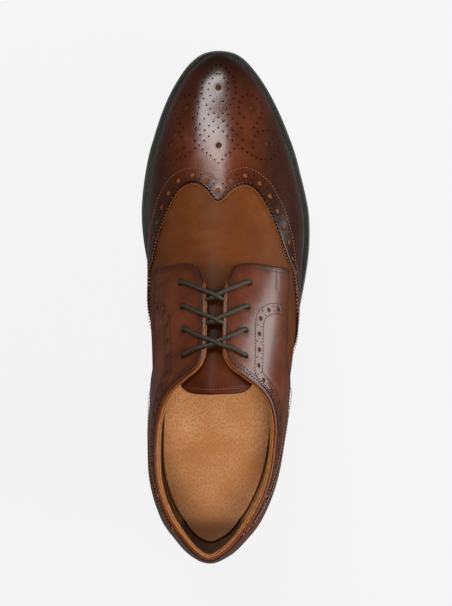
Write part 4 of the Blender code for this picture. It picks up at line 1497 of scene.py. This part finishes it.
@dataclass
class Tongue:
    """The tongue under the tabs, bound at its top by a row of stitches."""

    last: Last
    top: float = 103.5
    bottom: float = 181.0
    half_width: float = 22.5
    middle: float = -5.4
    outer: float = -3.3
    thickness: float = 2.2
    seam: float = 2.6

    def face(self, across: np.ndarray, along: np.ndarray, offset: np.ndarray) -> np.ndarray:
        """Points of the tongue: across from -1 to 1, along from 0 at the top to 1."""
        corner = 4.0 * across**8 - 0.8 * across**2
        place = self.top + corner + (self.bottom - self.top - corner) * along
        x = self.middle + across * self.half_width
        return self.last.under(place, x, offset)

    def build(self, leather: bpy.types.Material, thread: bpy.types.Material) -> None:
        """The tongue as a closed sheet, and its stitches."""
        columns, rows = 60, 110
        across, along = np.meshgrid(
            np.linspace(-1, 1, columns + 1), np.linspace(0, 1, rows + 1) ** 1.15
        )
        edge = np.clip(np.minimum(1 - np.abs(across), along * 3) / 0.05, 0, 1)
        rolled = 0.5 * self.thickness * (1 - np.sqrt(1 - (1 - edge) ** 2))
        dent = 0.2 * np.exp(-(((along * (self.bottom - self.top) - self.seam) / 0.6) ** 2))
        face = self.face(across, along, self.outer - rolled - dent)
        back = self.face(across, along, self.outer - self.thickness + rolled)
        points, faces = sheet_mesh(face, back)
        # Darker at its edges, with painted shade where it lies under the tabs and the laces
        lace_and_tab_shadow = 0.85 * smooth((face[..., 1].ravel() - 112.0) / 22.0)
        shade = np.tile(np.maximum(0.6 * np.exp(-edge.ravel() * 2), lace_and_tab_shadow), 2)
        piece = make_piece("tongue_leather", points, faces, leather, np.clip(shade, 0, 1))
        finish_piece(piece, "tongue_leather", "tongue")
        lanes = np.linspace(-0.93, 0.93, 600)
        along_seam = np.full(600, self.seam / (self.bottom - self.top))
        line = self.face(lanes, along_seam, np.full(600, self.outer))
        run = np.concatenate([[0], np.cumsum(np.linalg.norm(np.diff(line, axis=0), axis=1))])
        at = np.arange(0, run[-1], 1.9)
        middle = np.stack([np.interp(at, run, line[:, k]) for k in range(3)], 1)
        ahead = np.gradient(middle, axis=0)
        points, faces = [], []
        for centre, tangent in zip(middle, ahead):
            tangent = tangent / np.linalg.norm(tangent)
            ends = np.stack([centre - tangent * 0.65, centre, centre + tangent * 0.65])
            side = np.repeat([[tangent[1], -tangent[0], 0.0]], 3, 0)
            rise = np.repeat([np.cross(side[0], tangent)], 3, 0)
            widths = np.array([0.4, 1.0, 0.4])[:, None, None]
            ring = ellipse(0.45, 0.4, 6, (0, 0))[None] * widths
            spots, sheets = tube_mesh(ends, side, rise, ring, False)
            start = len(points) * 18
            points.append(spots)
            faces += [[k + start for k in sheet] for sheet in sheets]
        sewn = make_piece("tongue_stitches", np.concatenate(points), faces, thread)
        finish_piece(sewn, "tongue_leather")


@dataclass
class Footbed:
    """The pigskin insole: a cupped plate that reaches the lining all round."""

    span: Span
    steps: int = 110
    lanes: int = 14

    # Its edge from below: how far in from the last, and how high over its underside
    PROFILE: ClassVar[tuple[tuple[float, float], ...]] = (
        (2.3, 0.0), (2.4, 2.6), (2.9, 3.5), (3.6, 3.45), (4.6, 3.2), (6.0, 2.9), (8.0, 2.75),
        (10.5, 2.7),
    )

    def build(self, pigskin: bpy.types.Material) -> None:
        """The insole as a closed plate."""
        rings, shades = [], []
        for inset, height in self.PROFILE:
            ring = self.span.outline(inset, self.steps)
            z = welt_top(ring[:, 1]) + 0.2 + height
            rings.append(np.c_[ring, z])
            # Painted shade towards the edge, where the insole meets the lining
            shades.append(np.full(len(ring), 0.12 * math.exp(-(inset - self.PROFILE[0][0]) / 3.0)))
        size = len(rings[0])
        faces = []
        for k in range(len(rings) - 1):
            for n in range(size):
                m = (n + 1) % size
                faces.append([k * size + n, k * size + m, (k + 1) * size + m, (k + 1) * size + n])
        last = (len(rings) - 1) * size
        ring = rings[-1]
        half = size // 2
        lanes = self.lanes
        grid: dict[tuple[int, int], int] = {}
        extra = []
        for k in range(1, half):
            left, right = ring[k], ring[size - k]
            for lane in range(lanes + 1):
                if lane in (0, lanes):
                    grid[k, lane] = last + (k if lane == 0 else size - k)
                else:
                    share = lane / lanes
                    grid[k, lane] = len(rings) * size + len(extra)
                    extra.append(left + (right - left) * share)
        for k in range(1, half - 1):
            for lane in range(lanes):
                faces.append([
                    grid[k, lane], grid[k, lane + 1], grid[k + 1, lane + 1], grid[k + 1, lane]
                ])
        for k, tip in ((1, last), (half - 1, last + half)):
            for lane in range(lanes):
                faces.append([tip, grid[k, lane], grid[k, lane + 1]])
        faces.append(list(range(size)))
        points = np.concatenate([*rings, np.array(extra)])
        shade = np.concatenate([*shades, np.zeros(len(extra))])
        place = points[:, 1]
        # Painted shade towards the heel, and deep where the insole runs in under the vamp
        rear = 0.55 * smooth((78.0 - place) / 45.0) + 0.38 * smooth((26.0 - place) / 10.0)
        deep = smooth((place - 100.0) / 30.0)
        shade = np.clip(np.maximum(shade, rear) + deep, 0, 1)
        piece = make_piece("insole_pigskin", points, faces, pigskin, shade)
        finish_piece(piece, "insole_pigskin", "insole")


@dataclass
class SoleUnit:
    """The rubber sole: outsole, welt strip, stacked heel and the piece it stands on."""

    span: Span
    steps: int = 190

    def layer(self, profile: list[tuple[float, float]], strip: bool) -> tuple[np.ndarray, list]:
        """Rings of the sole's outline, each inset and raised, closed over or left as a strip."""
        rings = []
        for inset, height in profile:
            ring = self.span.outline(inset, self.steps)
            rings.append(np.c_[ring, ground_clearance(ring[:, 1]) + height])
        size, count = len(rings[0]), len(rings)
        faces = []
        for k in range(count if strip else count - 1):
            low, high = k * size, ((k + 1) % count) * size
            for n in range(size):
                m = (n + 1) % size
                faces.append([low + n, low + m, high + m, high + n])
        if not strip:
            half = size // 2
            for start in (0, (count - 1) * size):
                for k in range(half):
                    ring = [start + j % size for j in (k, k + 1, size - k - 1, size - k)]
                    faces.append(list(dict.fromkeys(ring)))
        return np.concatenate(rings), faces

    def heel_ring(self, inset: float) -> np.ndarray:
        """The heel's plan: the sole's outline behind a hollowed breast."""
        stop = float(self.span.angle(HEEL_BREAST - 4))
        angles = np.linspace(0, stop, 70)
        inner = np.stack([self.span.read(1, angles), self.span.place(angles)], 1)[::-1]
        outer = np.stack([self.span.read(2, angles), self.span.place(angles)], 1)[1:]
        t = np.linspace(0, 1, 30)[1:-1, None]
        breast = outer[-1] + (inner[0] - outer[-1]) * t
        breast[:, 1] -= 3.5 * np.sin(math.pi * t[:, 0])
        ring = np.concatenate([inner, outer, breast])
        before = ring - np.roll(ring, 1, 0)
        after = np.roll(ring, -1, 0) - ring
        tangent = before / np.linalg.norm(before, axis=1, keepdims=True)
        tangent = tangent + after / np.linalg.norm(after, axis=1, keepdims=True)
        normal = np.stack([tangent[:, 1], -tangent[:, 0]], 1)
        normal /= np.linalg.norm(normal, axis=1, keepdims=True)
        return ring + normal * inset

    def heel(
        self, name: str, profile: list[tuple[float, float | None]], material: bpy.types.Material
    ) -> bpy.types.Object:
        """A heel layer from rings of inset and height; no height means the seat's own."""
        rings = []
        for inset, height in profile:
            ring = self.heel_ring(inset)
            seat = ground_clearance(ring[:, 1]) - 0.05
            rings.append(np.c_[ring, seat if height is None else np.full(len(ring), height)])
        size = len(rings[0])
        faces = []
        for low in range(0, (len(rings) - 1) * size, size):
            for n in range(size):
                m = (n + 1) % size
                faces.append([low + n, low + m, low + size + m, low + size + n])
        faces += [list(range(size)), list(range((len(rings) - 1) * size, len(rings) * size))]
        return make_piece(name, np.concatenate(rings), faces, material, sharp=35.0)

    def build(
        self, rubber: bpy.types.Material, welt: bpy.types.Material, stack: bpy.types.Material
    ) -> None:
        """All four layers, with the fine ribs of their sides."""
        top = OUTSOLE_THICKNESS
        side = [(1.4, 0.0), (0.7, 0.25), (0.3, 0.8)]
        for k in range(4):
            z = 0.95 + k * 0.75
            side += [(0.15, z), (0.15, z + 0.35), (0.5, z + 0.5), (0.5, z + 0.62)]
        side += [(0.0, 4.1), (0.0, top - 0.15), (0.4, top), (WELT_WIDTH + GAP, top)]
        side.append((WELT_WIDTH + GAP, top + WELT_THICKNESS))
        points, faces = self.layer(side, False)
        outsole = make_piece("outsole_rubber", points, faces, rubber, sharp=35.0)
        finish_piece(outsole, "sole_rubber", "outsole")
        crown = top + WELT_THICKNESS
        strip = [(WELT_WIDTH, top + 0.05), (0.5, top + 0.05), (0.1, top + 0.4)]
        strip += [(0.1, crown - 0.9), (0.35, crown - 0.35), (0.8, crown - 0.05)]
        for k in range(4):
            inset = 1.15 + k * 0.62
            strip += [(inset, crown), (inset + 0.2, crown), (inset + 0.31, crown - 0.28)]
            strip.append((inset + 0.42, crown - 0.28))
        strip += [(3.9, crown), (4.4, crown - 0.1), (WELT_WIDTH, crown)]
        points, faces = self.layer(strip, True)
        welt_strip = make_piece("welt_rubber", points, faces, welt, sharp=35.0)
        finish_piece(welt_strip, "welt_rubber", "welt")
        low = TOP_LIFT_THICKNESS + GAP
        heights = [low + k * HEEL_LIFT_THICKNESS / 2 for k in range(6)]
        profile: list[tuple[float, float | None]] = [(1.9, low - 0.25)]
        for k, z in enumerate(heights):
            inset = 1.6 - 0.13 * k
            if k:
                profile += [(inset, z - 0.22), (inset + 0.35, z - 0.08)]
                profile += [(inset + 0.35, z + 0.08), (inset, z + 0.22)]
            else:
                profile.append((inset, z + 0.1))
        profile += [(0.85, HEEL_SEAT_HEIGHT - 0.9), (0.8, None)]
        block = self.heel("heel_stack", profile, stack)
        finish_piece(block, "heel_stack", "heel_block")
        lift = [(2.4, 0.0), (1.75, 0.5), (1.6, 1.2)]
        lift += [(1.6, TOP_LIFT_THICKNESS - 0.3), (1.75, TOP_LIFT_THICKNESS)]
        finish_piece(self.heel("heel_piece_rubber", lift, rubber), "sole_rubber", "heel_top_lift")


@dataclass
class Lacing:
    """The waxed cord through the four pairs of eyelets."""

    last: Last
    diameter: float = 2.3
    sides: int = 18

    def route(self, row: int, side: int) -> list[tuple[float, float, float]]:
        """A run's knots as x from the throat's middle, place and height over the last.

        Args:
            row: The eyelet row that the run comes up from, 0 at the front.
            side: The side it comes up on.

        Returns:
            The knots, from under the eyelet to under the opposite one.
        """
        place, offset = EYELETS[row]
        on_place, on_offset = EYELETS[row + 1]
        over = OVERLAY + self.diameter / 2
        higher = 1.15 if side < 0 else -1.15
        edge = 6.6
        middle = (place * 0.42 + on_place * 0.58) if row < 2 else (place + on_place) / 2
        start = [
            (offset, place + 0.3, -4.0),
            (offset, place + 0.1, 0.2),
            (offset - 0.7, place, over - 0.2),
            (offset - 2.8, place - 0.5, over + 0.15),
            (edge + 2.0, place - (place - middle) * 0.45, over),
        ]
        crossing = over - 0.6 + higher * 0.5
        centre = [(1.6, middle + 1.0, crossing), (-1.6, middle - 1.0, crossing)]
        if row == 2:
            stop = [
                (-edge - 2.0, middle + (on_place - middle) * 0.5, over),
                (-on_offset + 2.8, on_place + 0.8, over + 0.15),
                (-on_offset + 0.7, on_place + 0.1, over - 0.2),
                (-on_offset, on_place, 0.2),
                (-on_offset, on_place - 0.1, -4.0),
            ]
        else:
            stop = [
                (-edge + 1.2, middle - (middle - on_place) * 0.28, -0.4),
                (-edge - 2.5, middle - (middle - on_place) * 0.5, -3.2),
                (-on_offset + 3.0, on_place + 1.0, -3.6),
                (-on_offset + 0.5, on_place, -3.9),
            ]
        return [(x * side, p, h) for x, p, h in start + centre + stop]

    def build(self, cord: bpy.types.Material) -> None:
        """Both laces, run by run, as twisted cord."""
        points, faces = [], []
        for row in range(3):
            for side in (-1, 1):
                knots = np.array(self.route(row, side))
                table = np.c_[np.arange(len(knots)), knots]
                run = np.linspace(0, len(knots) - 1, 110)
                x, place, height = (curve(table, run, k) for k in (1, 2, 3))
                path = self.last.under(place, THROAT_X + x, height)
                for _ in range(3):
                    path[1:-1] = (path[:-2] + 2 * path[1:-1] + path[2:]) / 4
                ahead = np.gradient(path, axis=0)
                length = np.linalg.norm(ahead, axis=1, keepdims=True)
                ahead /= length
                across = np.cross(ahead, np.array([0.13, 0.21, 1.0]))
                across /= np.linalg.norm(across, axis=1, keepdims=True)
                up = np.cross(across, ahead)
                turn = np.linspace(0, 2 * math.pi, self.sides, endpoint=False)
                twist = np.cumsum(length[:, 0])[:, None] * 0.9
                radius = self.diameter / 2 * (1 + 0.05 * np.cos(6 * (turn[None] + twist / 3)))
                rings = np.stack([np.cos(turn)[None] * radius, np.sin(turn)[None] * radius], -1)
                spots, sheets = tube_mesh(path, across, up, rings, False)
                start = sum(len(p) for p in points)
                points.append(spots)
                faces += [[k + start for k in sheet] for sheet in sheets]
        piece = make_piece("laces", np.concatenate(points), faces, cord, sharp=80.0)
        crossings = [f"lace_crossing_{k}" for k in (1, 2, 3)]
        finish_piece(piece, "lace_cord", *crossings)


@dataclass
class HoleBacking:
    """The raw hide that shows at the bottom of each large punched hole."""

    # How much painted shade darkens the bottoms of the holes of each radius
    PAINTED_HOLE_SHADE: ClassVar[dict[float, float]] = {
        MEDALLION_HOLE: 0.8, WING_HOLE: 0.25, QUARTER_HOLE: 0.75
    }

    last: Last

    def build(self, holes: list[Hole], material: bpy.types.Material) -> None:
        """A small disc under each large hole, copied from one."""
        deselect()
        bpy.ops.mesh.primitive_cylinder_add(vertices=10, radius=1.0, depth=1.0)
        pattern = bpy.context.object
        disc = np.array([tuple(v.co) for v in pattern.data.vertices])
        sheets = [list(face.vertices) for face in pattern.data.polygons]
        bpy.data.objects.remove(pattern, do_unlink=True)
        points, faces = [], []
        large = [h for h in holes if h[2] > Panel.LARGE_HOLE]
        spots = np.array([h[:2] for h in large])
        middles = self.last.skin(spots, 0.85)
        # Painted shade at the bottom of each hole
        shades = np.repeat([self.PAINTED_HOLE_SHADE[h[2]] for h in large], len(disc))
        by_angle, _, normal = self.last.frame(spots)
        first = by_angle / np.linalg.norm(by_angle, axis=1, keepdims=True)
        second = np.cross(normal, first)
        for k, (middle, hole) in enumerate(zip(middles, large)):
            size = hole[2] + 0.12
            axes = np.stack([first[k] * size, second[k] * size, normal[k] * 0.5])
            points.append(middle + disc @ axes)
            faces += [[n + k * len(disc) for n in sheet] for sheet in sheets]
        piece = make_piece("hole_backing", np.concatenate(points), faces, material, shades, 40.0)
        finish_piece(piece, "vamp_leather")


@dataclass
class Studio:
    """A pale paper floor under broad soft lights, and the camera straight above the shoe."""

    camera_height: float = 0.630
    lens: float = 59.4
    paper_glow: float = 0.84

    def floor(self) -> None:
        """The paper that the shoe stands on."""
        deselect()
        bpy.ops.mesh.primitive_plane_add(size=6.0)
        floor = bpy.context.object
        floor.name = "floor"
        material, _, shader = blank("paper_floor")
        shader.inputs["Base Color"].default_value = linear("#3c3c3c")
        shader.inputs["Roughness"].default_value = 0.9
        shader.inputs["Emission Color"].default_value = linear("#ffffff")
        shader.inputs["Emission Strength"].default_value = self.paper_glow
        floor.data.materials.append(material)
        floor.visible_glossy = False

    def light(
        self, name: str, place: tuple, target: tuple, size: tuple, power: float, seen: bool = True
    ) -> None:
        """A soft box.

        Args:
            name: The light's name.
            place: Where it hangs.
            target: What it points at.
            size: Its two sizes.
            power: Its power in watts.
            seen: If glossy leather mirrors it.
        """
        deselect()
        bpy.ops.object.light_add(type="AREA", location=place)
        lamp = bpy.context.object
        lamp.name = name
        lamp.rotation_euler = (Vector(target) - Vector(place)).to_track_quat("-Z", "Y").to_euler()
        lamp.data.shape = "RECTANGLE"
        lamp.data.size, lamp.data.size_y = size
        lamp.data.energy = power
        lamp.visible_glossy = seen

    def build(self) -> None:
        """Floor, lights, surroundings and camera."""
        self.floor()
        self.light("front_box", (-0.24, 0.74, 0.96), (-0.01, 0.1, 0.05), (0.84, 0.26), 10.2)
        self.light("right_box", (0.90, -0.09, 0.26), (0.0, -0.05, 0.06), (0.86, 0.9), 12.0)
        self.light("top_fill", (0.05, -0.30, 1.3), (0.0, -0.05, 0.05), (0.5, 0.5), 10.4, False)
        world = bpy.data.worlds.new("studio")
        bpy.context.scene.world = world
        world.use_nodes = True
        sky = world.node_tree.nodes["Background"]
        sky.inputs[0].default_value = linear("#ffffff")
        sky.inputs[1].default_value = 0.09
        deselect()
        bpy.ops.object.camera_add(location=(0.0002, -0.0017, self.camera_height))
        camera = bpy.context.object
        camera.data.lens = self.lens
        camera.data.sensor_fit = "VERTICAL"
        camera.data.sensor_height = 36.0
        bpy.context.scene.camera = camera
        bpy.context.scene.view_settings.view_transform = "Standard"


def main() -> None:
    """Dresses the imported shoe, piece by piece."""
    logging.basicConfig(level=logging.INFO, format="%(name)s %(message)s")
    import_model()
    last = Last()
    stitcher = Stitcher(last)
    thread, dark_thread = THREAD.material(), DARK_THREAD.material()
    quarter_calf = QUARTER_CALF.material()
    raw_hide = RAW_HIDE.material()
    lining = LINING.material()
    sole = Span(SOLE_EDGE)
    SoleUnit(sole).build(RUBBER.material(), WELT_RUBBER.material(), HEEL_STACK.material())
    Upper(last).build(VAMP_CALF.material(), lining)
    holes = WingCap(last, stitcher).build(CAP_CALF.material(), thread)
    for side in Side:
        holes += Quarter(last, stitcher, side).build(quarter_calf, dark_thread)
    HeelCounter(last, stitcher).build(quarter_calf, thread)
    HoleBacking(last).build(holes, HOLE_HIDE.material())
    CollarEdge(last).build(BEAD_CALF.material(), raw_hide, SHADED_LINING_EDGE.material())
    Tongue(last).build(TONGUE_CALF.material(), thread)
    Footbed(last.span).build(PigskinSock().material())
    Lacing(last).build(WAXED_CORD.material())
    Studio().build()
    LOG.info("%d holes punched", len(holes))
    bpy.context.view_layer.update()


if __name__ == "__main__":
    main()
